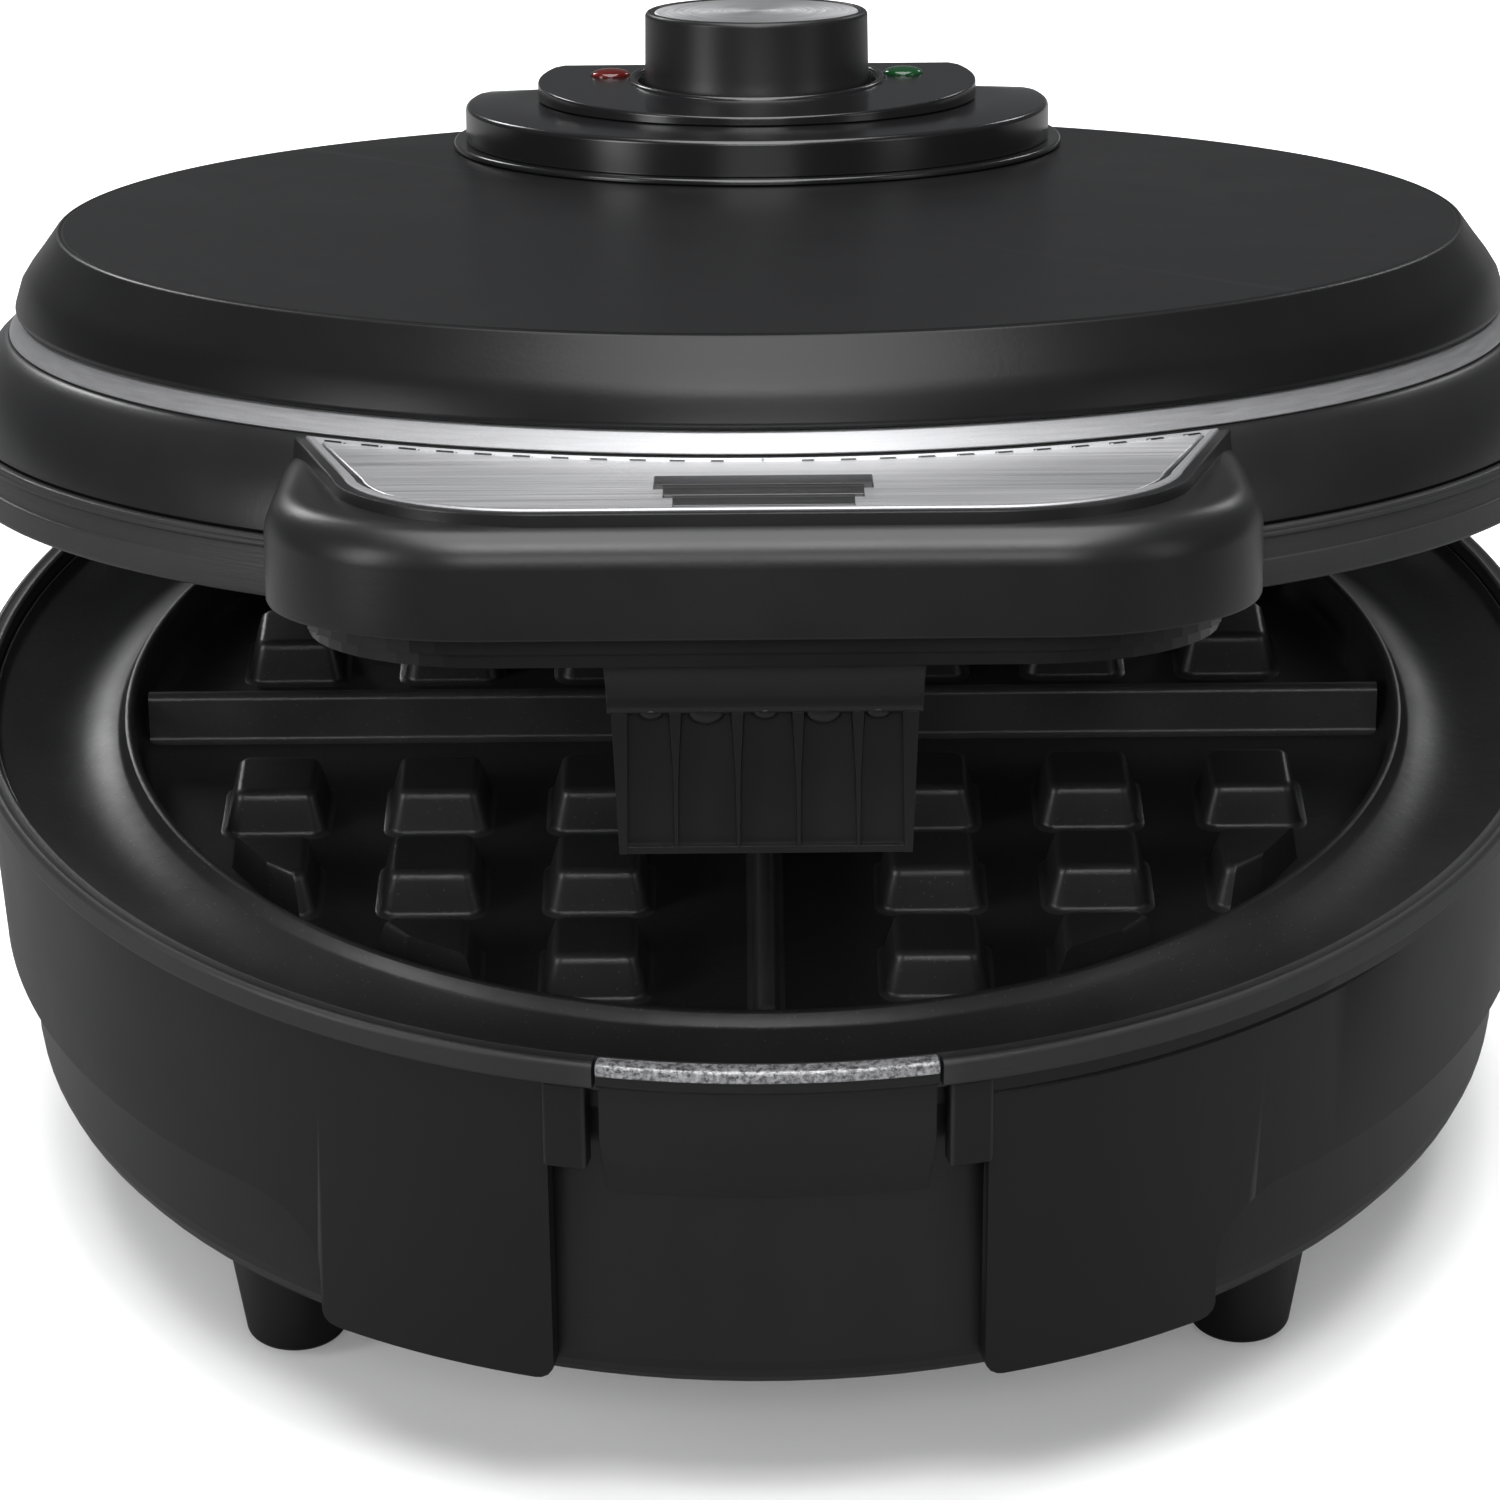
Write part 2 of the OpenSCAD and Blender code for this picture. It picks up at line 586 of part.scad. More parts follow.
module lid_band() color([0.05, 0.05, 0.055]) on_lid() difference() {
    turned([
        [band_low_r - wall, rim_bead_z + fit], [band_low_r, rim_bead_z + fit], band_curve[1], band_curve[2],
        [band_top_r, band_top_z], [band_top_r - 3.6, band_top_z], [band_top_r - 3.6, band_top_z - 1.6],
        [band_curve[2].x - 2, band_curve[2].y - 0.4], [band_curve[1].x - 1.9, band_curve[1].y]
    ]);
    both_sides() rod_y(handle_screw_x, -band_low_r, -95, handle_screw_z, 2.1);
    both_sides() rod_y(lid_bracket_screw_x, 100, band_low_r, lid_bracket_screw_z, 2.1);
}

module lid_rim() color([0.12, 0.12, 0.125]) on_lid() difference() {
    union() {
        turned(concat(
            [[lid_rim_r - 3.6, lid_z + 0.3], [lid_rim_r - 3.3, lid_z], [lid_rim_r - 0.5, lid_z], [lid_rim_r, lid_z + 0.5]],
            [[lid_rim_r, rim_bead_z - 2.9]],
            arc(lid_rim_r - 0.7, rim_bead_z - 1.9, 0.9, -60, 60, 4),
            arc(lid_rim_r - 1.5, rim_bead_z - 0.6, 0.6, -20, 90, 3),
            // the flange inside the band that carries the lugs
            [[flange_r, rim_bead_z], [flange_r, lug_low_z + lug_h], [flange_r - 1.7, lug_low_z + lug_h],
             [flange_r - 1.7, rim_bead_z - 0.9], [lid_rim_r - 3.6, rim_bead_z - 0.9]]
        ));
        // lugs for the upper plate and for the shell
        intersection() {
            union() {
                plate_lugs() translate([-5, -6, lug_low_z]) cube([20, 12, lug_h]);
                shell_lugs() translate([-5, -6, lug_low_z]) cube([20, 12, lug_h]);
            }
            translate([0, 0, lug_low_z - 1]) cylinder(h = lug_h + 2, r = flange_r - 0.1, $fn = 128);
        }
    }
    plate_lugs() translate([0, 0, lug_low_z - 1]) cylinder(h = lug_h + 2, r = 2.1);
    shell_lugs() translate([0, 0, lug_low_z - 1]) cylinder(h = lug_h + 2, r = 2.1);
}

// ---------------------------------------------------------------- upper plate and heater

module upper_plate() color([0.09, 0.09, 0.095]) on_lid() difference() {
    union() {
        turned(concat(
            [[0, upper_top_z], [90, upper_top_z], [94, 77.2], [96, 76.6], [104.5, 80.6], [108.4, 82.6],
             [108.4, 79.5], [105, 77.4], [96, 73.4]],
            arc(91.6, upper_lip_z + 0.9, 0.9, -60, -180, 5),
            [[bake_r + 1, upper_floor_z - 1.2], [bake_r - 0.2, upper_floor_z], [0, upper_floor_z]]
        ));
        pegs(upper_floor_z - bake_depth + 1.5, bake_depth - 1.5 + fit);
        divider(upper_floor_z - bake_depth + 0.6, bake_depth - 0.6 + fit);
        heater_ribs(upper_top_z - fit, 5.5);
        plate_lugs() translate([0, 0, upper_floor_z - 0.9]) cylinder(h = lug_low_z - upper_floor_z + 0.9 - fit, r = 5);
        around_four(post_ring_r) translate([0, 0, upper_top_z - fit])
            cylinder(h = upper_reflector_z - upper_top_z, r = 4);
    }
    plate_lugs() translate([0, 0, upper_floor_z + 0.1]) cylinder(h = 10, r = 2.05);
    around_four(post_ring_r) translate([0, 0, upper_top_z + 2]) cylinder(h = 10, r = 1.55);
}

module upper_element() color([0.45, 0.42, 0.4]) on_lid() heater(upper_top_z + element_r + 0.1, 9);

module upper_reflector() color([0.75, 0.75, 0.76]) on_lid() difference() {
    turned([
        [0, upper_reflector_z], [86.8, upper_reflector_z], [90.6, upper_reflector_z - 4.2],
        [91.4, upper_reflector_z - 3.8], [87.4, upper_reflector_z + 0.8], [0, upper_reflector_z + 0.8]
    ]);
    translate([0, dial_y, 90]) cylinder(h = 10, r = 18.5);
    translate([-14, -element_ring_r - 6, 90]) cube([28, 13, 10]);
    around_four(post_ring_r) translate([0, 0, 90]) cylinder(h = 10, r = 1.7);
}

// Screws that hold the reflector on the upper plate's spacers
module upper_reflector_screws() color([0.7, 0.7, 0.7]) on_lid()
    around_four(post_ring_r) translate([0, 0, upper_reflector_z + 0.8 + fit])
        rotate([180, 0, 0]) screw_up(1.5, 7, 3.2, 2);

// Screws with their heads up, from the lugs down into the upper plate
module upper_plate_screws() color([0.7, 0.7, 0.7]) on_lid()
    plate_lugs() translate([0, 0, lug_low_z + lug_h + fit]) rotate([180, 0, 0]) screw_up(2, 5.5, 3.8, 2.4);

// Screws with their heads down, from the lugs up into the shell's posts
module lid_screws() color([0.7, 0.7, 0.7]) on_lid()
    shell_lugs() translate([0, 0, lug_low_z - fit]) screw_up(1.9, 10, 3.8, 2);

// ---------------------------------------------------------------- controls inside the lid

module thermostat() color([0.62, 0.6, 0.55]) on_lid() difference() {
    union() {
        translate([0, dial_y, upper_top_z + 0.1]) cylinder(h = 3, r = 14);
        translate([-10, dial_y - 9, upper_top_z + 3]) cube([20, 18, 13]);
        translate([0, dial_y, upper_top_z + 16 - fit]) cylinder(h = lid_top_z - wall - upper_top_z - 16, r = 5.4);
        both_sides() translate([10 - fit, dial_y - 3, upper_top_z + 9]) cube([6, 6, 0.9]);
    }
    translate([0, dial_y, upper_top_z + 8]) cylinder(h = far, r = shaft_r + run);
}

module thermal_fuse() color([0.85, 0.83, 0.78]) on_lid() {
    rod_x(-11, 11, -26, upper_top_z + 3.2, 2.4);
    rod_x(-17, 17, -26, upper_top_z + 3.2, 0.7);
    translate([-5, -31, upper_top_z + fit]) cube([10, 10, 0.9]);
}

module lid_leads() color([0.8, 0.78, 0.7]) on_lid() {
    both_sides() wire([[pin_x, pin_y, 104.6], [22, -30, 100], [30, 30, 100], [18, dial_y - 8, 100],
                       [16.6, dial_y, 96.4]]);
    both_sides() wire([[18.1, -26, upper_top_z + 3.2], [26, -20, upper_top_z + 5], [26, -4, upper_top_z + 6]], 0.9);
}

// ---------------------------------------------------------------- dial

// A disc whose back is cut straight
module cut_disc(r, z0, z1, back) translate([0, 0, z0]) intersection() {
    translate([0, dial_y, 0]) cylinder(h = z1 - z0, r = r, $fn = 128);
    translate([-far, back - far, 0]) cube([2 * far, far, z1 - z0]);
}

module lens_places() both_sides() translate([22.5, dial_y + 4, 0]) children();

module dial_bezel() color([0.03, 0.03, 0.035]) on_lid() difference() {
    union() {
        cut_disc(46.5, lid_top_z + fit, bezel_flange_z, dial_back_y);
        cut_disc(44.5, bezel_flange_z - fit, bezel_top_z, dial_back_y - 0.6);
    }
    translate([0, dial_y, lid_top_z - 1]) cylinder(h = 20, r = shaft_hole_r);
    lens_places() translate([0, 0, lid_top_z - 1]) cylinder(h = 10, r = 3.2);
}

module dial_plate() color([0.06, 0.06, 0.065]) on_lid() difference() {
    cut_disc(33.5, bezel_top_z + fit, dial_plate_z + 2, dial_back_y - 1);
    // the top slopes down towards the front
    translate([0, dial_y + 4, dial_plate_z]) rotate([plate_slope, 0, 0])
        translate([-far / 2, -far / 2, 0]) cube([far, far, 20]);
    translate([0, dial_y, lid_top_z - 1]) cylinder(h = 20, r = shaft_hole_r);
    // the knob's shallow seat
    translate([0, dial_y, knob_z - 0.4]) cylinder(h = 5, r = knob_r + 0.8);
    lens_places() translate([0, 0, lid_top_z - 1]) cylinder(h = 20, r = 3.2);
}

module indicator_lamps() color([0.9, 0.6, 0.4]) on_lid() lens_places()
    translate([0, 0, lid_top_z - 12]) cylinder(h = 10, r = 2.4);

module lens(sx) on_lid() translate([sx * 22.5, dial_y + 4, 0]) rotate_extrude($fn = 48) polygon(concat(
    [[0, lid_top_z - 1.5], [3.1, lid_top_z - 1.5]],
    arc(0, dial_plate_z - 4.4, 5.4, 55, 90, 5)
));

module lens_power() color([0.8, 0.1, 0.08]) lens(-1);
module lens_ready() color([0.1, 0.7, 0.2]) lens(1);

module dial_knob() color([0.04, 0.04, 0.045]) on_lid() translate([0, dial_y, knob_z]) difference() {
    rotate_extrude($fn = 128) polygon(concat(
        [[0, 0], [knob_r - 0.3, 0], [knob_r, 0.4], [knob_r, knob_h - 0.8]],
        arc(knob_r - 0.6, knob_h - 0.6, 0.6, 0, 90, 4),
        [[0, knob_h]]
    ));
    translate([0, 0, knob_h - 1]) cylinder(h = 2, r = knob_r - 1.4);
    difference() {
        translate([0, 0, -1]) cylinder(h = knob_h - 3.5, r = knob_r - 2.2);
        cylinder(h = knob_h, r = 5.5);
    }
    translate([0, 0, -1]) cylinder(h = knob_h - 3, r = shaft_r + fit);
}

module dial_cap() color([0.8, 0.8, 0.82]) on_lid() translate([0, dial_y, knob_z + knob_h - 1 + fit])
    cylinder(h = 0.8, r = knob_r - 1.4 - fit, $fn = 128);

module dial_shaft() color([0.75, 0.75, 0.76]) on_lid() translate([0, dial_y, upper_top_z + 8.3])
    cylinder(h = knob_z + knob_h - 4.2 - upper_top_z - 8.3, r = shaft_r);

// ---------------------------------------------------------------- handle

// Outline of the handle seen from above, taken in by a margin
module handle_outline(inset, half, reach, corner) {
    w = half - inset;
    y = -(reach - inset);
    r = corner - inset;
    polygon(concat(
        [[w, handle_back_y], [-w, handle_back_y]],
        arc(-w + r, y + r, r, 180, 270, 12),
        arc(w - r, y + r, r, 270, 360, 12)
    ));
}

// The lid's outside, which the handle fits against
module lid_outside(grow) {
    translate([0, 0, lid_z - 20]) cylinder(h = rim_bead_z - lid_z + 20.1, r = lid_rim_r + 0.3 + grow, $fn = 128);
    for (i = [0:2]) translate([0, 0, band_curve[i].y])
        cylinder(h = band_curve[i + 1].y - band_curve[i].y, r1 = band_curve[i].x + 0.05 + grow,
                 r2 = band_curve[i + 1].x + 0.05 + grow, $fn = 128);
    translate([0, 0, band_top_z]) cylinder(h = 10, r = band_top_r + grow, $fn = 128);
}

module handle_body() color([0.045, 0.045, 0.05]) on_lid() difference() {
    union() {
        translate([0, 0, handle_low_z]) linear_extrude(handle_top_z - 2.6 - handle_low_z)
            handle_outline(0, handle_half, handle_reach, handle_corner);
        translate([0, 0, handle_top_z - 2.7]) linear_extrude(1.5)
            handle_outline(0.6, handle_half, handle_reach, handle_corner);
        translate([0, 0, handle_top_z - 1.3]) linear_extrude(1.3)
            handle_outline(1.6, handle_half, handle_reach, handle_corner);
    }
    // hollow, open below
    translate([0, 0, handle_low_z - 1]) linear_extrude(handle_top_z - 5.4 - handle_low_z + 1) difference() {
        handle_outline(3.4, handle_half, handle_reach, handle_corner);
        translate([-far, -lid_rim_r - 3.4]) square([2 * far, far]);
    }
    // the seat of the trim and the insert
    translate([0, 0, insert_z - 1.5]) linear_extrude(far) trim_outline(-fit);
    lid_outside(fit);
    both_sides() rod_y(handle_screw_x, -118, -90, handle_screw_z, 1.95);
}

// Outline of the bright trim, which narrows towards the front
module trim_outline(inset) {
    back_half = trim_back_half - inset;
    front_half = trim_front_half - inset;
    y = -(trim_reach - inset);
    r = trim_corner - inset;
    polygon(concat(
        [[back_half, -92], [-back_half, -92]],
        arc(-front_half + r, y + r, r, 190, 270, 10),
        arc(front_half - r, y + r, r, 270, 350, 10)
    ));
}

module handle_trim() color([0.78, 0.78, 0.8]) on_lid() translate([0, 0, insert_z - 1.4]) difference() {
    linear_extrude(handle_top_z + 0.3 - insert_z + 1.4) trim_outline(fit);
    translate([0, 0, 1.4]) linear_extrude(far) trim_outline(2.6);
    translate([0, 0, 1.4 - insert_z]) lid_outside(2 * fit);
}

module handle_insert() color([0.68, 0.68, 0.7]) on_lid() translate([0, 0, insert_z + fit]) difference() {
    linear_extrude(0.8) trim_outline(3.1);
    translate([0, 0, -insert_z]) lid_outside(0.3);
    translate([0, 0, -1]) linear_extrude(5) badge_outline(-fit);
}

// A generic inset that narrows towards the front in three steps
module badge_outline(inset) for (i = [0:2]) {
    half = 13.4 - 1.2 * i - inset;
    front = badge_back + 5.3 * (i + 1) - inset;
    translate([-half, -front]) square([2 * half, front - inset - badge_back]);
}

module handle_badge() color([0.1, 0.1, 0.1]) on_lid() translate([0, 0, insert_z + fit])
    linear_extrude(0.5) badge_outline(fit);

// The cover that closes the handle from below and carries the latch
module handle_cover() color([0.035, 0.035, 0.04]) on_lid() difference() {
    union() {
        translate([0, 0, cover_low_z]) linear_extrude(2) handle_outline(5, handle_half, handle_reach - 1, handle_corner + 2);
        translate([0, 0, cover_low_z + 1.9]) linear_extrude(handle_low_z - cover_low_z - 1.9 - fit)
            handle_outline(3.8, handle_half, handle_reach - 1, handle_corner + 1);
        both_sides() translate([17.4, latch_pin_y - 3.5, handle_low_z - 0.2]) cube([4.4, 7, 1.8]);
    }
    translate([0, 0, lid_z - 20]) cylinder(h = 60, r = lid_rim_r + 0.6, $fn = 128);
    // the opening that the latch swings in
    translate([-latch_lug_half - 0.5, -129.5, cover_low_z - 1]) cube([2 * latch_lug_half + 1, 14.9, 20]);
    rod_x(-far / 2, far / 2, latch_pin_y, latch_pin_z, latch_pin_r + fit / 2);
}

module handle_screws() color([0.7, 0.7, 0.7]) on_lid() both_sides()
    translate([handle_screw_x, -100.8, handle_screw_z]) rotate([90, 0, 0]) screw_up(1.9, 15, 3.6, 2.2);

// ---------------------------------------------------------------- latch

module latch_pin() color([0.78, 0.78, 0.8]) on_lid()
    rod_x(-21, 21, latch_pin_y, latch_pin_z, latch_pin_r);

// The latch's torsion spring, drawn as plain coils round the pin
module latch_spring() color([0.7, 0.7, 0.72]) on_lid() {
    for (i = [-2:2]) translate([i * 1.6, latch_pin_y, latch_pin_z]) rotate([0, 90, 0])
        rotate_extrude($fn = 48) translate([2.3, 0]) circle(r = 0.45, $fn = 16);
}

module latch() color([0.045, 0.045, 0.05]) on_lid() difference() {
    union() {
        // grip bar
        bar_x(latch_half, [
            [latch_back_y, latch_bar_low_z], [latch_face_y, latch_bar_low_z], [latch_face_y, latch_bar_top_z - 1],
            [latch_face_y + 1, latch_bar_top_z], [latch_back_y, latch_bar_top_z]
        ]);
        // panel, frame and fins below the bar
        bar_x(panel_half, [
            [latch_back_y, latch_low_z], [latch_back_y - 1.9, latch_low_z], [latch_back_y - 2.4, latch_bar_low_z + fit],
            [latch_back_y, latch_bar_low_z + fit]
        ]);
        translate([-panel_half, latch_face_y + 0.4, latch_low_z]) cube([2 * panel_half, 4, 1.6]);
        both_sides() translate([panel_half - 1.4, latch_face_y + 0.4, latch_low_z])
            cube([1.4, 4, latch_bar_low_z - latch_low_z + fit]);
        for (i = [-2:2]) translate([i * 7.5 - 0.55, latch_face_y + 0.6, latch_low_z]) cube([1.1, 3, latch_bar_low_z - latch_low_z + fit]);
        // lugs up to the pin
        both_sides() slab_x(spring_half + 0.6, latch_lug_half, [
            [latch_pin_y - 3, latch_bar_top_z - 1.4], [latch_back_y, latch_bar_top_z - 1.4],
            [latch_pin_y + 3, latch_pin_z], [latch_pin_y - 3, latch_pin_z]
        ]);
        both_sides() rod_x(spring_half + 0.6, latch_lug_half, latch_pin_y, latch_pin_z, 3);
        hook();
    }
    rod_x(-far / 2, far / 2, latch_pin_y, latch_pin_z, latch_pin_r + run);
}

// The hook that snaps under the strike
module hook() difference() {
    bar_x(17, [
        [latch_back_y - fit, skirt_top_z - 3.4], [-109, skirt_top_z - 1.4], [-109, skirt_top_z - 0.4],
        [latch_back_y - fit, skirt_top_z - 0.4]
    ]);
    cylinder(h = far, r = keeper_r + 0.4, $fn = 128);
}

base_housing();
base_skirt();
base_rim();
latch_strike();
latch_keeper();
lower_plate();
lower_element();
lower_reflector();
lower_plate_screws();
terminal_block();
terminal_screws();
base_leads();
cord_gland();
foot_front_left();
foot_front_right();
foot_rear_left();
foot_rear_right();
foot_pads();
foot_screws();
hinge_bracket();
hinge_bracket_screws();
hinge_pins();
hinge_washers();
lid_housing();
lid_trim_band();
lid_band();
lid_rim();
upper_plate();
upper_element();
upper_reflector();
upper_reflector_screws();
upper_plate_screws();
lid_screws();
thermostat();
thermal_fuse();
lid_leads();
lid_hinge_bracket();
lid_bracket_screws();
dial_bezel();
dial_plate();
indicator_lamps();
lens_power();
lens_ready();
handle_body();
handle_trim();
handle_insert();
handle_badge();
handle_cover();
handle_screws();
latch_pin();
latch_spring();
dial_knob();
dial_cap();
dial_shaft();
latch();
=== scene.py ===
"""The waffle maker's looks: meshes, materials, floor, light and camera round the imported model.

Shapes are drawn in millimetres. Lid, dial and latch pieces are drawn with the lid shut, as the CAD
draws them, and LID lifts them to where the open lid rests.
"""
import json
import math

import bmesh
import bpy
from mathutils import Matrix, Vector
from mathutils.geometry import tessellate_polygon


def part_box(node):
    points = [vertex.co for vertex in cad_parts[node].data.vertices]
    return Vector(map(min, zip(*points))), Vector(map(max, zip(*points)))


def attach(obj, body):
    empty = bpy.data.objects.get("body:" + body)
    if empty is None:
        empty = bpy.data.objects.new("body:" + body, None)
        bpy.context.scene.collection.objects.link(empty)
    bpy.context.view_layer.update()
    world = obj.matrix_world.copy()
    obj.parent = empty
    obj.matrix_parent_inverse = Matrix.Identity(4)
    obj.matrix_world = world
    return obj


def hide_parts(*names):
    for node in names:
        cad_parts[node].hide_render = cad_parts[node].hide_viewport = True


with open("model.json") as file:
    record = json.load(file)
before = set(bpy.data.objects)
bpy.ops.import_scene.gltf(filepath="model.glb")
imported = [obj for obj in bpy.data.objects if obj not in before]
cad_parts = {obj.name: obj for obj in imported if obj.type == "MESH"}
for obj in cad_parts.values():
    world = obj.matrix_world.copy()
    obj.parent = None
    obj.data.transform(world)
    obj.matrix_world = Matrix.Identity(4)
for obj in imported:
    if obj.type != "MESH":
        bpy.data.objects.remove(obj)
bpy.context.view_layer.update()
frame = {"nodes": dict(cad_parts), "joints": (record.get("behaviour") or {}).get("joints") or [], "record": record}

MM = 0.001
JOINTS = {joint["name"]: joint for joint in frame["joints"]}

# ---------------------------------------------------------------- places

HINGE = Vector(JOINTS["lid_hinge"]["pos_m"])
LID_OPEN = -math.radians(JOINTS["lid_hinge"]["range_deg"][0])
LID = (
    Matrix.Translation(HINGE)
    @ Matrix.Rotation(LID_OPEN, 4, Vector(JOINTS["lid_hinge"]["axis"]))
    @ Matrix.Translation(-HINGE)
)
FRAMES = {"base": Matrix.Identity(4), "lid": LID, "dial": LID, "latch": LID}


def shut_box(node):
    """A lid node's lowest and highest corners with the lid shut, in millimetres."""
    back = LID.inverted()
    points = [back @ vertex.co for vertex in frame["nodes"][node].data.vertices]
    low = Vector([min(point[i] for point in points) for i in range(3)]) / MM
    high = Vector([max(point[i] for point in points) for i in range(3)]) / MM
    return low, high


def base_box(node):
    """A base node's lowest and highest corners, in millimetres."""
    low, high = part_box(node)
    return low / MM, high / MM


# ---- base ----
RIM_LOW, RIM_HIGH = base_box("base_rim")
SKIRT_LOW, SKIRT_HIGH = base_box("base_skirt")
BOWL_HIGH = base_box("base_housing")[1]
KEEPER_LOW, KEEPER_HIGH = base_box("latch_keeper")
RIM_R = RIM_HIGH.x
RIM_TOP = RIM_HIGH.z
SKIRT_TOP = RIM_LOW.z
SKIRT_FOOT = SKIRT_LOW.z
SKIRT_R = SKIRT_HIGH.x
SKIRT_TAPER = 2.3
SHELL_WALL = 2.2
BOWL_R = BOWL_HIGH.x
LIP_TOP = 70.8
BAKE_DEPTH = 7.8
BAKE_FLOOR = LIP_TOP - BAKE_DEPTH
BAKE_R = 89.0
PEG_PITCH = 23.0
PEG_SIDE = 14.0
POCKET_HALF = 28.7
POCKET_TOP = 58.0
SLOT_HALF = 23.5
STEP_X = 60.3
STEP_R = 10.0
SIDE_FOOT = 41.0

# ---- lid, shut ----
TOP_HIGH = shut_box("lid_housing")[1]
TRIM_LOW, TRIM_HIGH = shut_box("lid_trim_band")
BAND_LOW, BAND_HIGH = shut_box("lid_band")
LID_RIM_LOW, LID_RIM_HIGH = shut_box("lid_rim")
LID_TOP = TOP_HIGH.z
SHOULDER_R = TOP_HIGH.x
TRIM_FOOT = TRIM_LOW.z
TRIM_TOP = TRIM_HIGH.z
BAND_FOOT = BAND_LOW.z
LID_FOOT = LID_RIM_LOW.z
LID_RIM_R = LID_RIM_HIGH.x
TOP_R = 99.2
BAND_CURVE = [(BAND_HIGH.x, 83.8), (111, 89), (109, 92.8), (106.2, 96.1)]

# ---- dial, handle and latch, shut ----
KNOB_LOW, KNOB_HIGH = shut_box("dial_knob")
BEZEL_LOW, BEZEL_HIGH = shut_box("dial_bezel")
TIER_LOW, TIER_HIGH = shut_box("dial_plate")
HANDLE_LOW, HANDLE_HIGH = shut_box("handle_body")
HANDLE_TRIM_LOW, HANDLE_TRIM_HIGH = shut_box("handle_trim")
INSERT_LOW, INSERT_HIGH = shut_box("handle_insert")
LATCH_LOW, LATCH_HIGH = shut_box("latch")
DIAL_Y = (KNOB_LOW.y + KNOB_HIGH.y) / 2
KNOB_R = KNOB_HIGH.x
DIAL_BACK = BEZEL_HIGH.y
PLATE_SLOPE = 2.4
PLATE_SOFT = 0.35
HANDLE_HALF = HANDLE_HIGH.x
HANDLE_REACH = -HANDLE_LOW.y
HANDLE_CORNER = 27.0
BADGE_BACK = 118.5
# insets from the trim's outline: the black lip, the bright frame and the brushed plate
LIP_OUT = -0.3
LIP_IN = 1.1
FRAME_OUT = 1.2
FRAME_IN = 2.5
PLATE_IN = 3.4


# ---------------------------------------------------------------- material helpers

def add_node(tree, kind, **values):
    """A shader node with its properties and its inputs' values set."""
    made = tree.nodes.new(kind)
    for key, value in values.items():
        if hasattr(made, key):
            setattr(made, key, value)
        else:
            made.inputs[key.replace("_", " ")].default_value = value
    return made


def maths(tree, operation, first, second):
    """A maths node; each input is an output socket or a number."""
    made = add_node(tree, "ShaderNodeMath", operation=operation)
    for index, value in enumerate((first, second)):
        if isinstance(value, (int, float)):
            made.inputs[index].default_value = value
        else:
            tree.links.new(value, made.inputs[index])
    return made.outputs[0]


def ranged(tree, source, low, high, to_low, to_high):
    """Maps a value from one range to another, held at the ends."""
    made = add_node(tree, "ShaderNodeMapRange")
    tree.links.new(source, made.inputs["Value"])
    made.inputs["From Min"].default_value = low
    made.inputs["From Max"].default_value = high
    made.inputs["To Min"].default_value = to_low
    made.inputs["To Max"].default_value = to_high
    return made.outputs["Result"]


def blended(tree, factor, first, second):
    """A colour mix; each colour is an output socket or a triple."""
    made = add_node(tree, "ShaderNodeMix", data_type="RGBA")
    tree.links.new(factor, made.inputs["Factor"])
    for index, value in ((6, first), (7, second)):
        if isinstance(value, tuple):
            made.inputs[index].default_value = (*value, 1)
        else:
            tree.links.new(value, made.inputs[index])
    return made.outputs[2]


def place_straight(tree, stretch=(1, 1, 1)):
    """The object's own coordinates, stretched."""
    place = add_node(tree, "ShaderNodeTexCoord")
    scale = add_node(tree, "ShaderNodeMapping")
    scale.inputs["Scale"].default_value = stretch
    tree.links.new(place.outputs["Object"], scale.inputs["Vector"])
    return scale.outputs["Vector"]


def place_round(tree, stretch=(1, 1, 1), centre=(0, 0, 0)):
    """Angle, radius and height about a vertical axis, stretched."""
    place = add_node(tree, "ShaderNodeTexCoord")
    shift = add_node(tree, "ShaderNodeMapping")
    shift.inputs["Location"].default_value = [-value for value in centre]
    tree.links.new(place.outputs["Object"], shift.inputs["Vector"])
    split = add_node(tree, "ShaderNodeSeparateXYZ")
    tree.links.new(shift.outputs["Vector"], split.inputs["Vector"])
    angle = maths(tree, "ARCTAN2", split.outputs["Y"], split.outputs["X"])
    squared = maths(tree, "MULTIPLY", split.outputs["X"], split.outputs["X"])
    radius = maths(tree, "SQRT", maths(
        tree, "ADD", squared, maths(tree, "MULTIPLY", split.outputs["Y"], split.outputs["Y"])
    ), 0.0)
    joined = add_node(tree, "ShaderNodeCombineXYZ")
    for index, value in enumerate((angle, radius, split.outputs["Z"])):
        tree.links.new(maths(tree, "MULTIPLY", value, float(stretch[index])), joined.inputs[index])
    return joined.outputs["Vector"]


def noise(tree, vector, scale, detail=3.0, roughness=0.5):
    made = add_node(tree, "ShaderNodeTexNoise", Scale=scale, Detail=detail, Roughness=roughness)
    tree.links.new(vector, made.inputs["Vector"])
    return made.outputs["Fac"]


def add_bump(tree, shader, height, depth, strength=1.0, below=None):
    """Bump of a real depth in metres, on top of another bump's normal if given."""
    made = add_node(tree, "ShaderNodeBump", Strength=strength, Distance=depth)
    tree.links.new(height, made.inputs["Height"])
    if below is not None:
        tree.links.new(below, made.inputs["Normal"])
    tree.links.new(made.outputs["Normal"], shader.inputs["Normal"])
    return made.outputs["Normal"]


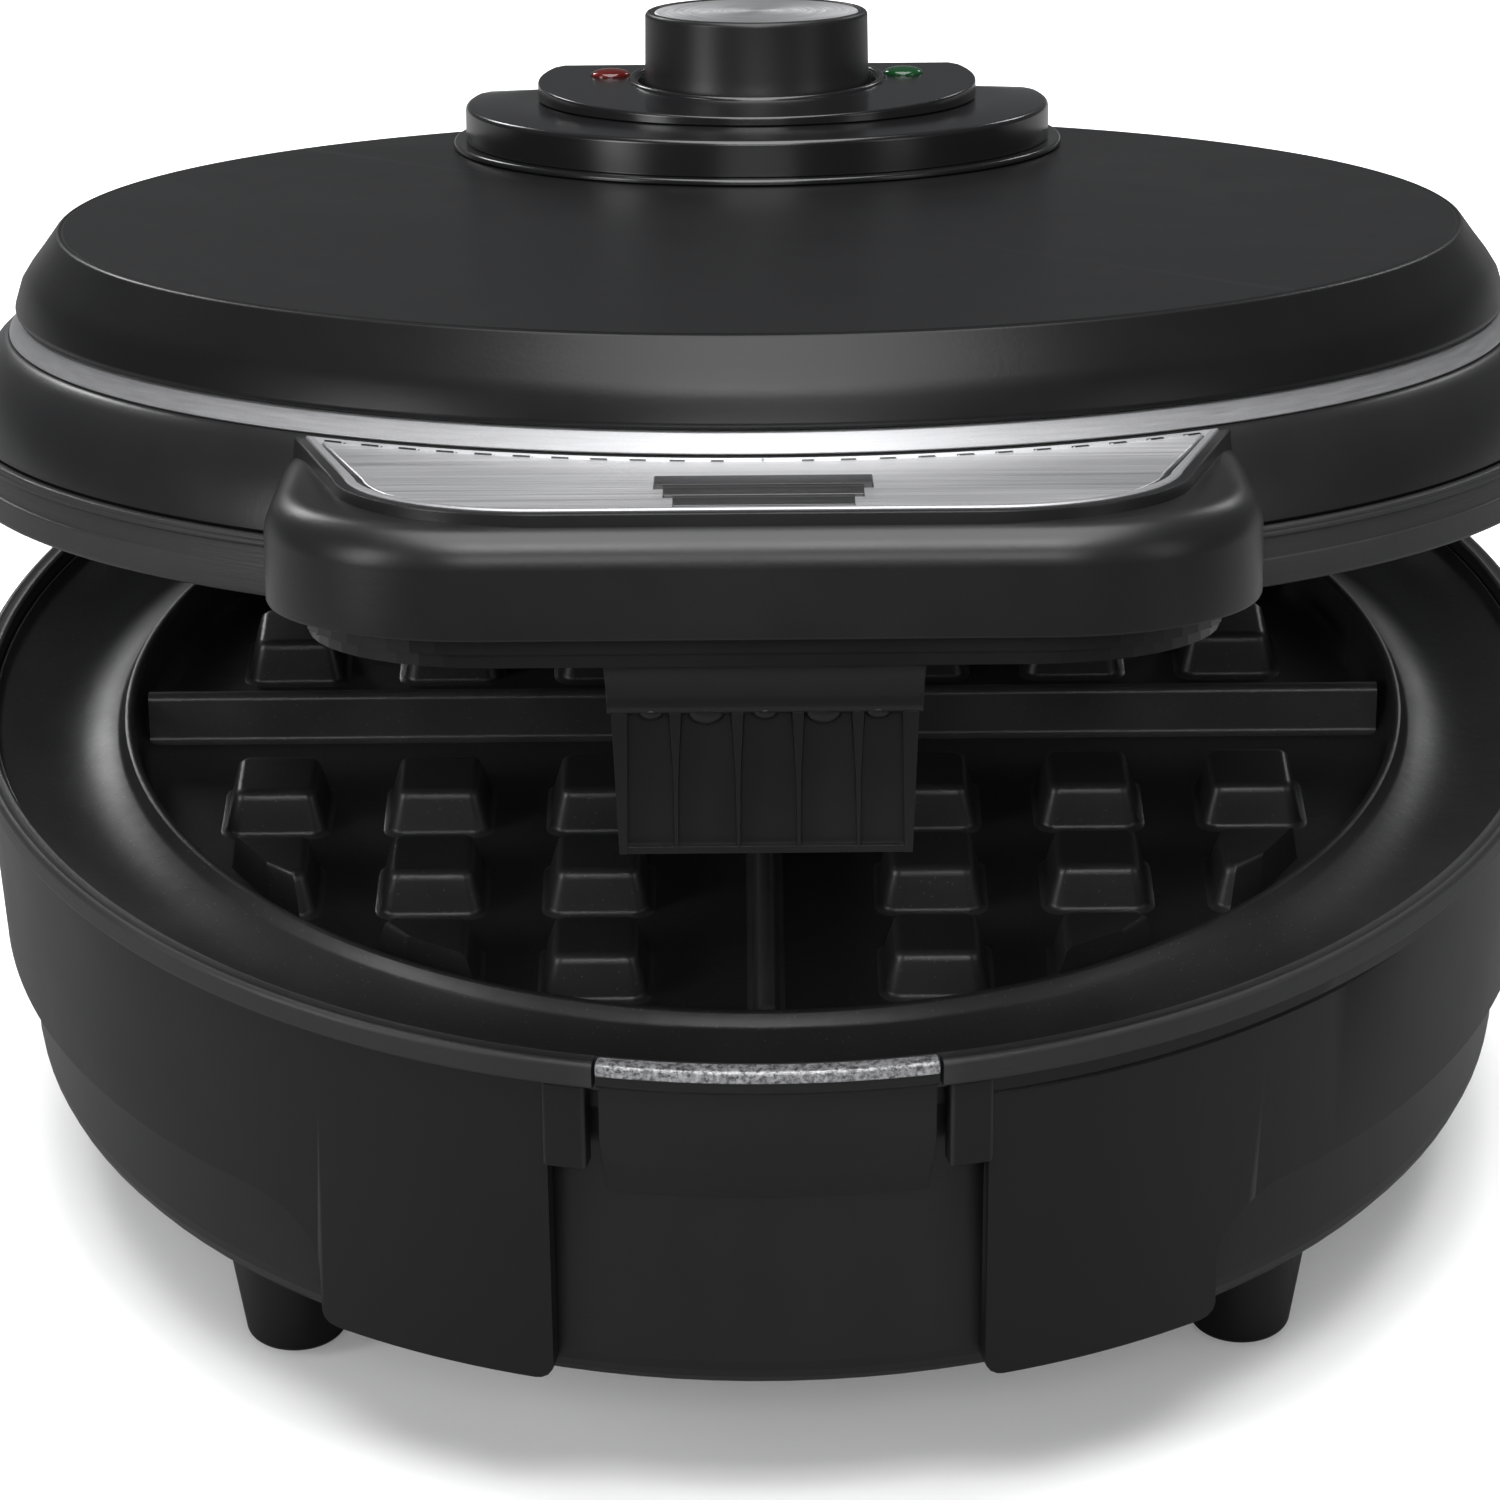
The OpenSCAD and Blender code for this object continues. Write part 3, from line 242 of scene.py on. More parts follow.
def new_material(name, base, roughness, metallic=0.0, **sockets):
    """A material and its principled shader, with uniform values on the shader's own sockets."""
    made = bpy.data.materials.new(name)
    made.use_nodes = True
    shader = made.node_tree.nodes["Principled BSDF"]
    shader.inputs["Base Color"].default_value = (*base, 1)
    shader.inputs["Roughness"].default_value = roughness
    shader.inputs["Metallic"].default_value = metallic
    for key, value in sockets.items():
        shader.inputs[key.replace("_", " ")].default_value = value
    return made, made.node_tree, shader


def shade(colour, factor):
    return tuple(min(1.0, value * factor) for value in colour)


def finish_surface(tree, shader, vector, base, roughness, mottle, spread, edge_highlight=1.6, broad_scale=28.0):
    """Broad unevenness in colour and gloss; edges painted lighter as a painted highlight, and made a little smoother.
    """
    broad = noise(tree, vector, broad_scale, 5.0, 0.6)
    spots = ranged(tree, broad, 0.3, 0.7, 0.0, 1.0)
    patches = blended(tree, spots, shade(base, 1 - mottle), shade(base, 1 + mottle))
    shape = add_node(tree, "ShaderNodeNewGeometry")
    edge = ranged(tree, shape.outputs["Pointiness"], 0.53, 0.62, 0.0, 1.0)
    # painted highlight: edges are made lighter in colour to stand in for the light their bevels catch; the same mask
    # makes them a little smoother
    edge_highlight_and_polish = maths(tree, "MULTIPLY", edge, ranged(tree, broad, 0.35, 0.65, 0.3, 1.0))
    tree.links.new(blended(tree, edge_highlight_and_polish, patches, shade(base, edge_highlight)), shader.inputs["Base Color"])
    gloss = ranged(tree, broad, 0.25, 0.75, roughness - spread, roughness + spread)
    polished = maths(tree, "MULTIPLY", edge_highlight_and_polish, 0.06)
    tree.links.new(maths(tree, "SUBTRACT", gloss, polished), shader.inputs["Roughness"])


# ---------------------------------------------------------------- materials

def moulded(name, base, roughness, grain=1600.0, depth=0.000012, mottle=0.12, spread=0.05, edge_highlight=1.6,
            **sockets):
    """Moulded plastic with a fine spark-eroded texture."""
    made, tree, shader = new_material(name, base, roughness, **sockets)
    vector = place_straight(tree)
    finish_surface(tree, shader, vector, base, roughness, mottle, spread, edge_highlight)
    add_bump(tree, shader, noise(tree, vector, grain, 2.0), depth)
    return made


def grained_rim():
    """Dark grey plastic whose grain runs round the ring in short streaks."""
    base = (0.022, 0.022, 0.023)
    made, tree, shader = new_material("grained_rim", base, 0.46, Specular_IOR_Level=0.38)
    finish_surface(tree, shader, place_straight(tree), base, 0.46, 0.15, 0.05, 2.4)
    streaks = noise(tree, place_round(tree, (9, 2200, 2200)), 1.0, 3.0, 0.65)
    under = add_bump(tree, shader, streaks, 0.00006)
    add_bump(tree, shader, noise(tree, place_straight(tree), 1500.0, 2.0), 0.00002, 1.0, under)
    return made


def satin_silver():
    """Silver-painted plastic with faint lines round it."""
    base = (0.33, 0.33, 0.34)
    made, tree, shader = new_material("satin_silver", base, 0.5, 0.75)
    lines = noise(tree, place_round(tree, (14, 3000, 3000)), 1.0, 2.0, 0.6)
    flakes = noise(tree, place_straight(tree), 5000.0, 1.0)
    mixed = maths(tree, "ADD", maths(tree, "MULTIPLY", lines, 0.6), maths(tree, "MULTIPLY", flakes, 0.4))
    tint = blended(tree, ranged(tree, mixed, 0.3, 0.7, 0, 1), shade(base, 0.88), shade(base, 1.12))
    tree.links.new(tint, shader.inputs["Base Color"])
    tree.links.new(ranged(tree, mixed, 0.3, 0.7, 0.44, 0.58), shader.inputs["Roughness"])
    add_bump(tree, shader, mixed, 0.000006)
    return made


def speckled_silver():
    """The strike strip: silver with a coarse sparkling grain."""
    base = (0.3, 0.3, 0.31)
    made, tree, shader = new_material("speckled_silver", base, 0.42, 0.5)
    flakes = noise(tree, place_straight(tree), 1500.0, 2.0, 0.7)
    tint = blended(tree, ranged(tree, flakes, 0.35, 0.65, 0, 1), shade(base, 0.35), shade(base, 1.8))
    tree.links.new(tint, shader.inputs["Base Color"])
    tree.links.new(ranged(tree, flakes, 0.3, 0.7, 0.3, 0.55), shader.inputs["Roughness"])
    add_bump(tree, shader, flakes, 0.00008)
    return made


def brushed_plate():
    """Steel sheet brushed from side to side."""
    base = (0.62, 0.62, 0.63)
    made, tree, shader = new_material("brushed_plate", base, 0.36, 1.0, Anisotropic=0.55)
    lines = noise(tree, place_straight(tree, (12, 2600, 2600)), 1.0, 3.0, 0.65)
    broad = noise(tree, place_straight(tree, (1, 2.5, 1)), 22.0, 2.0)
    tint = blended(tree, ranged(tree, lines, 0.3, 0.7, 0, 1), shade(base, 0.86), shade(base, 1.12))
    tree.links.new(tint, shader.inputs["Base Color"])
    line_gloss = ranged(tree, lines, 0.3, 0.7, 0.3, 0.4)
    gloss = maths(tree, "ADD", line_gloss, ranged(tree, broad, 0.3, 0.7, -0.03, 0.03))
    tree.links.new(gloss, shader.inputs["Roughness"])
    run = add_node(tree, "ShaderNodeTangent", direction_type="RADIAL", axis="X")
    tree.links.new(run.outputs["Tangent"], shader.inputs["Tangent"])
    add_bump(tree, shader, lines, 0.000008)
    return made


def spun_cap():
    """Polished metal turned in fine rings about the knob's axis."""
    base = (0.72, 0.72, 0.73)
    made, tree, shader = new_material("spun_cap", base, 0.42, 1.0, Anisotropic=0.4)
    centre = (0, DIAL_Y * MM, 0)
    rings = noise(tree, place_round(tree, (1.5, 5200, 900), centre), 1.0, 2.0, 0.6)
    tint = blended(tree, ranged(tree, rings, 0.3, 0.7, 0, 1), shade(base, 0.85), shade(base, 1.15))
    tree.links.new(tint, shader.inputs["Base Color"])
    tree.links.new(ranged(tree, rings, 0.3, 0.7, 0.36, 0.48), shader.inputs["Roughness"])
    add_bump(tree, shader, rings, 0.000004)
    return made


def non_stick():
    """Dark non-stick coating on cast aluminium: orange peel with tiny pale specks."""
    base = (0.02, 0.02, 0.021)
    made, tree, shader = new_material("non_stick", base, 0.4, Specular_IOR_Level=0.5)
    vector = place_straight(tree)
    finish_surface(tree, shader, vector, base, 0.4, 0.18, 0.06, 2.0, 40.0)
    cells = add_node(tree, "ShaderNodeTexVoronoi", Scale=900.0)
    tree.links.new(vector, cells.inputs["Vector"])
    specks = ranged(tree, cells.outputs["Distance"], 0.0, 0.16, 1.0, 0.0)
    painted = shader.inputs["Base Color"].links[0].from_socket
    tree.links.new(blended(tree, specks, painted, shade(base, 5.0)), shader.inputs["Base Color"])
    under = add_bump(tree, shader, noise(tree, vector, 420.0, 3.0), 0.00005)
    add_bump(tree, shader, noise(tree, vector, 2600.0, 1.0), 0.000012, 1.0, under)
    return made


def bare_metal(name, base, roughness, scale=600.0):
    """Plain metal with a mottled finish and fine scratches."""
    made, tree, shader = new_material(name, base, roughness, 1.0)
    vector = place_straight(tree)
    finish_surface(tree, shader, vector, base, roughness, 0.12, 0.08, 1.25, 120.0)
    add_bump(tree, shader, noise(tree, place_straight(tree, (1, 8, 3)), scale, 4.0, 0.7), 0.000015)
    return made


def coloured_lens(name, base):
    """A clear coloured lens over a dark lamp, with a faint moulded grain."""
    made, tree, shader = new_material(name, base, 0.12, Transmission_Weight=0.35, IOR=1.49)
    vector = place_straight(tree)
    finish_surface(tree, shader, vector, base, 0.12, 0.2, 0.03, 1.3, 300.0)
    add_bump(tree, shader, noise(tree, vector, 700.0, 2.0), 0.000008)
    return made


def woven(name, base):
    """Glass-fibre sleeving with its woven rib."""
    made, tree, shader = new_material(name, base, 0.75, Sheen_Weight=0.2)
    vector = place_straight(tree)
    finish_surface(tree, shader, vector, base, 0.75, 0.2, 0.06, 1.1, 200.0)
    weave = add_node(tree, "ShaderNodeTexWave", Scale=900.0, Distortion=2.0)
    tree.links.new(vector, weave.inputs["Vector"])
    add_bump(tree, shader, weave.outputs["Fac"], 0.00008)
    return made


MATERIALS = {
    "black_shell": moulded("moulded_black", (0.0085, 0.0085, 0.009), 0.36, Specular_IOR_Level=0.34),
    "lid_top": moulded("moulded_lid_top", (0.005, 0.005, 0.0054), 0.34, Specular_IOR_Level=0.2),
    # the skirt's edges are painted nine times lighter: a painted highlight along its edges
    "skirt": moulded("moulded_skirt", (0.006, 0.006, 0.0063), 0.4, edge_highlight=9.0, Specular_IOR_Level=0.3),
    "rim_plastic": grained_rim(),
    "silver_trim": satin_silver(),
    "strike": speckled_silver(),
    "brushed_plate": brushed_plate(),
    "polished_metal": spun_cap(),
    "non_stick": non_stick(),
    "bright_steel": bare_metal("bright_steel", (0.6, 0.6, 0.62), 0.3),
    "reflector_sheet": bare_metal("reflector_sheet", (0.75, 0.75, 0.76), 0.25, 200.0),
    "heater_tube": bare_metal("heater_tube", (0.25, 0.22, 0.2), 0.45, 900.0),
    "brass": bare_metal("brass", (0.75, 0.58, 0.27), 0.3),
    "ceramic": moulded("ceramic", (0.75, 0.72, 0.64), 0.5, 900.0, 0.00003),
    "wire": woven("wire_sleeve", (0.7, 0.66, 0.56)),
    "rubber": moulded("rubber", (0.016, 0.016, 0.016), 0.68, 1100.0, 0.00003, 0.2),
    "gloss_black": moulded(
        "gloss_black", (0.006, 0.006, 0.0065), 0.2, 500.0, 0.000003, 0.1, 0.04, Specular_IOR_Level=0.5
    ),
    "lamp": moulded("lamp", (0.5, 0.3, 0.18), 0.15, 400.0, 0.000005),
    "red_lens": coloured_lens("red_lens", (0.10, 0.008, 0.006)),
    "green_lens": coloured_lens("green_lens", (0.008, 0.06, 0.018)),
}


def dress_cad_nodes():
    """Gives each CAD node the material of its slot in the record."""
    for part in frame["record"]["subparts"]:
        shown = frame["nodes"][part["node"]]
        shown.data.materials.clear()
        shown.data.materials.append(MATERIALS[part["material_slot"]])


# ---------------------------------------------------------------- mesh helpers

def piece(name, body, mesh_data, slot, nodes, material=None, bevel=0.0, sharp=32.0, segments=3):
    """Turns millimetre geometry into a smooth-shaded object on a body, standing for CAD nodes."""
    bmesh.ops.remove_doubles(mesh_data, verts=mesh_data.verts, dist=0.002)
    bmesh.ops.recalc_face_normals(mesh_data, faces=mesh_data.faces)
    mesh_data.transform(Matrix.Scale(MM, 4))
    mesh = bpy.data.meshes.new(name)
    mesh_data.to_mesh(mesh)
    mesh_data.free()
    mesh.shade_smooth()
    mesh.materials.append(MATERIALS[material or slot])
    made = bpy.data.objects.new(name, mesh)
    bpy.context.scene.collection.objects.link(made)
    if bevel:
        edges = made.modifiers.new("edges", "BEVEL")
        edges.width = bevel * MM
        edges.segments = segments
        edges.limit_method = "ANGLE"
        edges.angle_limit = math.radians(sharp)
        edges.harden_normals = True
    else:
        mesh.set_sharp_from_angle(angle=math.radians(sharp))
        weighted = made.modifiers.new("normals", "WEIGHTED_NORMAL")
        weighted.keep_sharp = True
    made.matrix_world = FRAMES[body]
    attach(made, body)
    if nodes:
        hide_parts(*nodes)
    return made


def rounded(corners, steps=5):
    """A closed outline from (x, y) or (x, y, radius) corners, with an arc at each given radius."""
    points = []
    for index, corner in enumerate(corners):
        here = Vector(corner[:2])
        radius = corner[2] if len(corner) > 2 else 0.0
        if radius <= 0:
            points.append(here)
            continue
        before = Vector(corners[index - 1][:2]) - here
        after = Vector(corners[(index + 1) % len(corners)][:2]) - here
        half = before.angle(after) / 2
        reach = min(radius / math.tan(half), 0.48 * before.length, 0.48 * after.length)
        middle = here + (before.normalized() + after.normalized()).normalized() * (reach / math.cos(half))
        first = here + before.normalized() * reach - middle
        last = here + after.normalized() * reach - middle
        turn = first.angle(last)
        for step in range(steps + 1):
            share = step / steps
            arm = (first * math.sin((1 - share) * turn) + last * math.sin(share * turn)) / math.sin(turn)
            points.append(middle + arm)
    return points


def arc(x, y, radius, start, end, steps=8):
    """Points on an arc between two angles in degrees."""
    return [
        (x + radius * math.cos(math.radians(start + (end - start) * i / steps)),
         y + radius * math.sin(math.radians(start + (end - start) * i / steps)))
        for i in range(steps + 1)
    ]


def add_turned(made, profile, steps=256, start=0.0, sweep=360.0, centre=(0.0, 0.0)):
    """Adds a ring, or part of one, turned from a closed (radius, height) outline."""
    whole = sweep >= 360
    rings = []
    for index in range(steps if whole else steps + 1):
        angle = math.radians(start + sweep * index / steps)
        rings.append([
            made.verts.new((centre[0] + r * math.cos(angle), centre[1] + r * math.sin(angle), z))
            for r, z in profile
        ])
    for index in range(steps):
        here = rings[index]
        there = rings[(index + 1) % len(rings)]
        for i in range(len(profile)):
            j = (i + 1) % len(profile)
            made.faces.new((here[i], there[i], there[j], here[j]))
    if not whole:
        made.faces.new(rings[0])
        made.faces.new(list(reversed(rings[-1])))
    return made


def turned(profile, **options):
    return add_turned(bmesh.new(), profile, **options)


def add_loft(made, rings):
    """Adds a closed skin over rings of equal length, with both ends filled."""
    skins = [[made.verts.new(point) for point in ring] for ring in rings]
    for here, there in zip(skins, skins[1:]):
        for i in range(len(here)):
            j = (i + 1) % len(here)
            made.faces.new((here[i], here[j], there[j], there[i]))
    for ends in (skins[0], skins[-1]):
        flat = [vertex.co for vertex in ends]
        for triangle in tessellate_polygon([flat]):
            corners = [ends[i] for i in triangle]
            if len(set(corners)) == 3 and made.faces.get(corners) is None:
                made.faces.new(corners)
    return made


def loft(rings):
    return add_loft(bmesh.new(), rings)


def level(outline, z):
    """An outline's points at one height."""
    return [(x, y, z) for x, y in outline]


def add_bar_x(made, x0, x1, outline):
    """Adds a bar along X from its (y, z) outline."""
    return add_loft(made, [[(x, y, z) for y, z in outline] for x in (x0, x1)])


def add_block(made, low, high):
    """Adds a block between two corners."""
    return add_loft(made, [
        [(low[0], low[1], z), (high[0], low[1], z), (high[0], high[1], z), (low[0], high[1], z)]
        for z in (low[2], high[2])
    ])


# ---------------------------------------------------------------- base

def skirt_r_at(z):
    """The skirt's outside radius at a height."""
    return SKIRT_R - SKIRT_TAPER * (SKIRT_TOP - z) / (SKIRT_TOP - SKIRT_FOOT)


def turn_at(x, z):
    """Degrees round from the front at which the skirt reaches a distance from the middle."""
    return math.degrees(math.asin(x / skirt_r_at(z)))


def skirt_outline():
    """The right half's outline, unrolled to (degrees from the front, height)."""
    outline = [(turn_at(SLOT_HALF, SKIRT_TOP), SKIRT_TOP), (turn_at(SLOT_HALF, POCKET_TOP), POCKET_TOP)]
    outline.append((turn_at(POCKET_HALF, POCKET_TOP), POCKET_TOP))
    outline += [(turn_at(POCKET_HALF, SKIRT_FOOT + 2.5), SKIRT_FOOT + 2.5)]
    outline += [
        (turn_at(POCKET_HALF + 2.5 - 2.5 * math.cos(math.radians(a)), SKIRT_FOOT),
         SKIRT_FOOT + 2.5 - 2.5 * math.sin(math.radians(a))) for a in (20, 45, 70, 90)
    ]
    outline += [
        (turn_at(STEP_X - 2.0 + 2.0 * math.sin(math.radians(a)), SKIRT_FOOT),
         SKIRT_FOOT + 2.0 - 2.0 * math.cos(math.radians(a))) for a in (0, 30, 60, 90)
    ]
    low = SIDE_FOOT - STEP_R
    outline += [
        (turn_at(STEP_X + STEP_R - STEP_R * math.cos(math.radians(a)), low + STEP_R * math.sin(math.radians(a))),
         low + STEP_R * math.sin(math.radians(a))) for a in range(0, 91, 6)
    ]
    return outline


def add_skirt_sheet(made, outline):
    """Adds the unrolled sheet, cut into narrow columns and rolled round the base."""
    flat = [made.verts.new((turn, 0, z)) for turn, z in outline]
    made.faces.new(flat)
    low = min(turn for turn, z in outline)
    high = max(turn for turn, z in outline)
    columns = int((high - low) / 1.5)
    for index in range(1, columns):
        bmesh.ops.bisect_plane(
            made, geom=made.verts[:] + made.edges[:] + made.faces[:],
            plane_co=(low + (high - low) * index / columns, 0, 0), plane_no=(1, 0, 0), dist=0.0001,
        )
    for z in (SKIRT_TOP - 2.4, SKIRT_TOP - 2.75, SKIRT_TOP - 3.1):
        bmesh.ops.bisect_plane(
            made, geom=made.verts[:] + made.edges[:] + made.faces[:],
            plane_co=(0, 0, z), plane_no=(0, 0, 1), dist=0.0001,
        )
    for vertex in made.verts:
        turn, _, z = vertex.co
        radius = skirt_r_at(z)
        if abs(z - (SKIRT_TOP - 2.75)) < 0.01 and abs(turn) > 15:
            radius -= 0.4 * max(0.0, min(1.0, (52 - abs(turn)) / 14))
        angle = math.radians(turn)
        vertex.co = (radius * math.sin(angle), -radius * math.cos(angle), z)
    return made


def make_skirt():
    right = skirt_outline()
    left = [(360 - turn, z) for turn, z in reversed(right)]
    made = add_skirt_sheet(bmesh.new(), right + left)
    bmesh.ops.recalc_face_normals(made, faces=made.faces)
    inner = next(face for face in made.faces)
    outward = inner.normal.dot(Vector((*inner.calc_center_median().xy, 0))) > 0
    if not outward:
        bmesh.ops.reverse_faces(made, faces=made.faces)
    bmesh.ops.solidify(made, geom=made.faces[:], thickness=SHELL_WALL)
    add_cord_pad(made)
    return piece("skirt_shell", "base", made, "black_shell", ["base_skirt"], "skirt", bevel=0.4, sharp=40)


def add_cord_pad(made):
    """Adds the flat pad round the cord's gland."""
    gland_low, gland_high = base_box("cord_gland")
    middle = (gland_low.z + gland_high.z) / 2
    hole = (gland_high.z - gland_low.z) / 2 - 1.2
    corners = rounded([(-13, -11, 3), (13, -11, 3), (13, 11, 3), (-13, 11, 3)], 6)
    count = 4 * len(corners)
    outer = []
    for index in range(count):
        angle = 2 * math.pi * index / count
        ray = Vector((math.cos(angle), math.sin(angle)))
        reach = min(13 / max(abs(ray.x), 1e-6), 11 / max(abs(ray.y), 1e-6))
        outer.append(ray * min(reach, 15.5))
    turns = [2 * math.pi * i / count for i in range(count)]
    inner = [Vector((math.cos(turn), math.sin(turn))) * hole for turn in turns]
    back = SKIRT_R - 4
    front = SKIRT_R + 1.6
    layers = [(outer, back), (outer, front - 0.5), (shrunk(outer, 0.5), front), (inner, front), (inner, back)]
    skins = [[made.verts.new((p.x, y, middle + p.y)) for p in ring] for ring, y in layers]
    for here, there in zip(skins, skins[1:] + skins[:1]):
        for i in range(count):
            j = (i + 1) % count
            made.faces.new((here[i], here[j], there[j], there[i]))


def shrunk(outline, amount):
    """An outline about the origin, pulled in towards it."""
    return [point - point.normalized() * amount for point in outline]


def make_pads():
    """The raised pads beside the latch slots."""
    made = bmesh.new()
    face = SKIRT_R + 0.45
    for side in (-1, 1):
        turn_in = turn_at(SLOT_HALF + 0.05, SKIRT_TOP)
        turn_out = turn_at(POCKET_HALF + 0.5, SKIRT_TOP)
        start = -90 + side * turn_in
        sweep = turn_out - turn_in
        profile = [
            (SKIRT_R - SHELL_WALL - 0.6, POCKET_TOP + 0.05), (face, POCKET_TOP + 0.05),
            (face, SKIRT_TOP - 0.05), (SKIRT_R - SHELL_WALL - 0.6, SKIRT_TOP - 0.05),
        ]
        add_turned(made, profile, steps=10, start=start if side > 0 else start - sweep, sweep=sweep)
    return piece("latch_slot_pads", "base", made, "black_shell", [], "skirt", bevel=0.5, sharp=40)


def make_rim():
    """The ring round the base's top: a soft bead with a fine step inside it."""
    inner = RIM_R - 2.85
    profile = [(inner, SKIRT_TOP + 0.02), (RIM_R - 1.1, SKIRT_TOP + 0.02)]
    profile += arc(RIM_R - 0.75, SKIRT_TOP + 0.8, 0.7, -90, 0, 4)
    profile += arc(RIM_R - 1.0, RIM_TOP - 1.0, 1.0, 5, 88, 8)
    profile += [(RIM_R - 1.7, RIM_TOP - 0.25)]
    profile += arc(RIM_R - 2.3, RIM_TOP - 0.5, 0.5, 90, 180, 5)
    seat = turn_at(KEEPER_HIGH.x + 0.25, SKIRT_TOP) + 0.1
    made = turned(profile, steps=240, start=-90 + seat, sweep=360 - 2 * seat)
    back = [(inner, SKIRT_TOP + 0.02), (RIM_R - 2.25, SKIRT_TOP + 0.02)]
    back += [(RIM_R - 2.25, RIM_TOP - 0.1), (inner, RIM_TOP - 0.3)]
    add_turned(made, back, steps=24, start=-90 - seat, sweep=2 * seat)
    return piece("rim_ring", "base", made, "rim_plastic", ["base_rim"], sharp=50)


def make_strike():
    """The bright strip in the rim that the latch snaps under."""
    seat = turn_at(KEEPER_HIGH.x, SKIRT_TOP)
    profile = [(RIM_R - 2.1, RIM_TOP - 1.75), (RIM_R + 0.15, RIM_TOP - 1.75)]
    profile += arc(RIM_R - 0.55, RIM_TOP - 0.6, 0.7, 0, 90, 6) + [(RIM_R - 2.1, RIM_TOP + 0.1)]
    made = turned(profile, steps=48, start=-90 - seat, sweep=2 * seat)
    return piece("strike_strip", "base", made, "silver_trim", ["latch_strike"], "strike", bevel=0.3, sharp=60)


def make_keeper():
    """The curved block behind the strip and the panel below it."""
    seat = turn_at(KEEPER_HIGH.x, SKIRT_TOP)
    face = -KEEPER_LOW.y
    foot = KEEPER_LOW.z
    profile = [(BOWL_R + 0.1, foot), (BOWL_R + 0.25, foot), (BOWL_R + 1.0, foot + 2.5)]
    profile += [(face - 1.2, POCKET_TOP + 1.2), (face, POCKET_TOP + 4.5)]
    # the face stays clear of the latch's hook up to the strip
    profile += [(face, SKIRT_TOP - 0.4), (RIM_R - 0.6, SKIRT_TOP + 0.3)]
    profile += [(RIM_R - 0.15, SKIRT_TOP + 1.2), (RIM_R - 0.15, RIM_TOP - 1.8)]
    profile += [(RIM_R - 2.2, RIM_TOP - 1.8), (RIM_R - 2.2, SKIRT_TOP), (109.7, SKIRT_TOP - 1.8)]
    profile += [(108.7, 68), (BOWL_R + 0.2, 66)]
    made = turned(profile, steps=48, start=-90 - seat, sweep=2 * seat)
    return piece("keeper_block", "base", made, "black_shell", ["latch_keeper"], bevel=0.25, sharp=50)


def peg_rings(x, y, half, foot, top, draft=1.1, corner=2.2, round_r=1.3):
    """A peg's levels: a drafted square with rounded corners, a soft top and a filleted foot."""
    rings = []
    rise = top - foot
    side = 1 if rise > 0 else -1
    levels = [(0.9, 0.0), (0.25, 0.35), (0.0, 0.9)]
    levels += [(-draft * 0.5, abs(rise) * 0.5), (-draft, abs(rise) - round_r)]
    levels += [
        (-draft - round_r * (1 - math.cos(math.radians(a))), abs(rise) - round_r + round_r * math.sin(math.radians(a)))
        for a in (30, 60, 90)
    ]
    for grow, height in levels:
        size = half + grow
        radius = max(0.6, corner + grow * 0.5)
        corners = [(-size, -size, radius), (size, -size, radius), (size, size, radius), (-size, size, radius)]
        outline = rounded(corners, 4)
        rings.append([(x + p.x, y + p.y, foot + side * height) for p in outline])
    return rings


def add_grid(made, foot, top):
    """Adds the pegs and the quartering cross between two levels."""
    for sx in (-1, 1):
        for sy in (-1, 1):
            for i in range(3):
                for j in range(3):
                    if math.hypot(i + 1, j + 1) >= 3.7:
                        continue
                    x = PEG_PITCH * (i + 1)
                    y = PEG_PITCH * (j + 1)
                    reach = math.hypot(x + PEG_SIDE / 2 - 1.5, y + PEG_SIDE / 2 - 1.5)
                    rings = peg_rings(0, 0, PEG_SIDE / 2, foot, top)
                    limit = BAKE_R - 5.0
                    moved = []
                    for ring in rings:
                        points = []
                        for px, py, pz in ring:
                            place = Vector((x + px, y + py))
                            if reach > limit and place.length > limit:
                                place = place.normalized() * limit
                            points.append((sx * place.x, sy * place.y, pz))
                        moved.append(points)
                    add_loft(made, moved)
    side = 1 if top > foot else -1
    height = abs(top - foot) + 0.9
    shape = [(1.0, 0), (0.3, 0.4), (0.0, 1.0), (-0.35, height - 0.9), (-0.65, height - 0.35), (-1.15, height)]
    for along_x in (True, False):
        rings = []
        for grow, rise in shape:
            half = 1.6 + grow
            long = BAKE_R + 0.2
            corners = [(-long, -half), (long, -half), (long, half), (-long, half)]
            if not along_x:
                corners = [(y, x) for x, y in reversed(corners)]
            rings.append([(x, y, foot + side * rise) for x, y in corners])
        add_loft(made, rings)


def make_lower_plate():
    under = BAKE_FLOOR - 4.5
    profile = [(0, under), (93, under), (96, 63.8), (103, 63.8), (104.4, 65.2), (108.4, 65.2)]
    profile += [(108.4, 68.2), (109.6, SKIRT_TOP - 1.6), (RIM_R - 3, SKIRT_TOP - 1.6), (RIM_R - 3, 72.5)]
    profile += arc(RIM_R - 3.5, 72.4, 0.5, 10, 90, 3)
    profile += arc(100.3, 81, 14, -45, -122, 28)
    profile += arc(91.7, LIP_TOP - 0.9, 0.9, 55, 178, 8)
    profile += [(BAKE_R + 1.3, BAKE_FLOOR + 2.2)] + arc(BAKE_R - 0.9, BAKE_FLOOR + 2.0, 2.0, -10, -90, 6)
    profile += [(0, BAKE_FLOOR)]
    made = turned(profile, steps=288)
    add_grid(made, BAKE_FLOOR - 0.02, BAKE_FLOOR + BAKE_DEPTH - 1.5)
    return piece("baking_plate_lower", "base", made, "non_stick", ["lower_plate"], sharp=38)


def make_foot(node):
    low, high = base_box(node)
    middle = (low + high) / 2
    top = (high.x - low.x) / 2
    profile = [(0, low.z), (5.8, low.z)] + arc(5.9, low.z + 1.2, 1.2, -90, -12, 6)
    profile += [(top - 0.1, high.z - 0.6), (top, high.z), (0, high.z)]
    made = turned(profile, steps=72, centre=(middle.x, middle.y))
    return piece(node.replace("foot", "leg"), "base", made, "black_shell", [node], sharp=40)


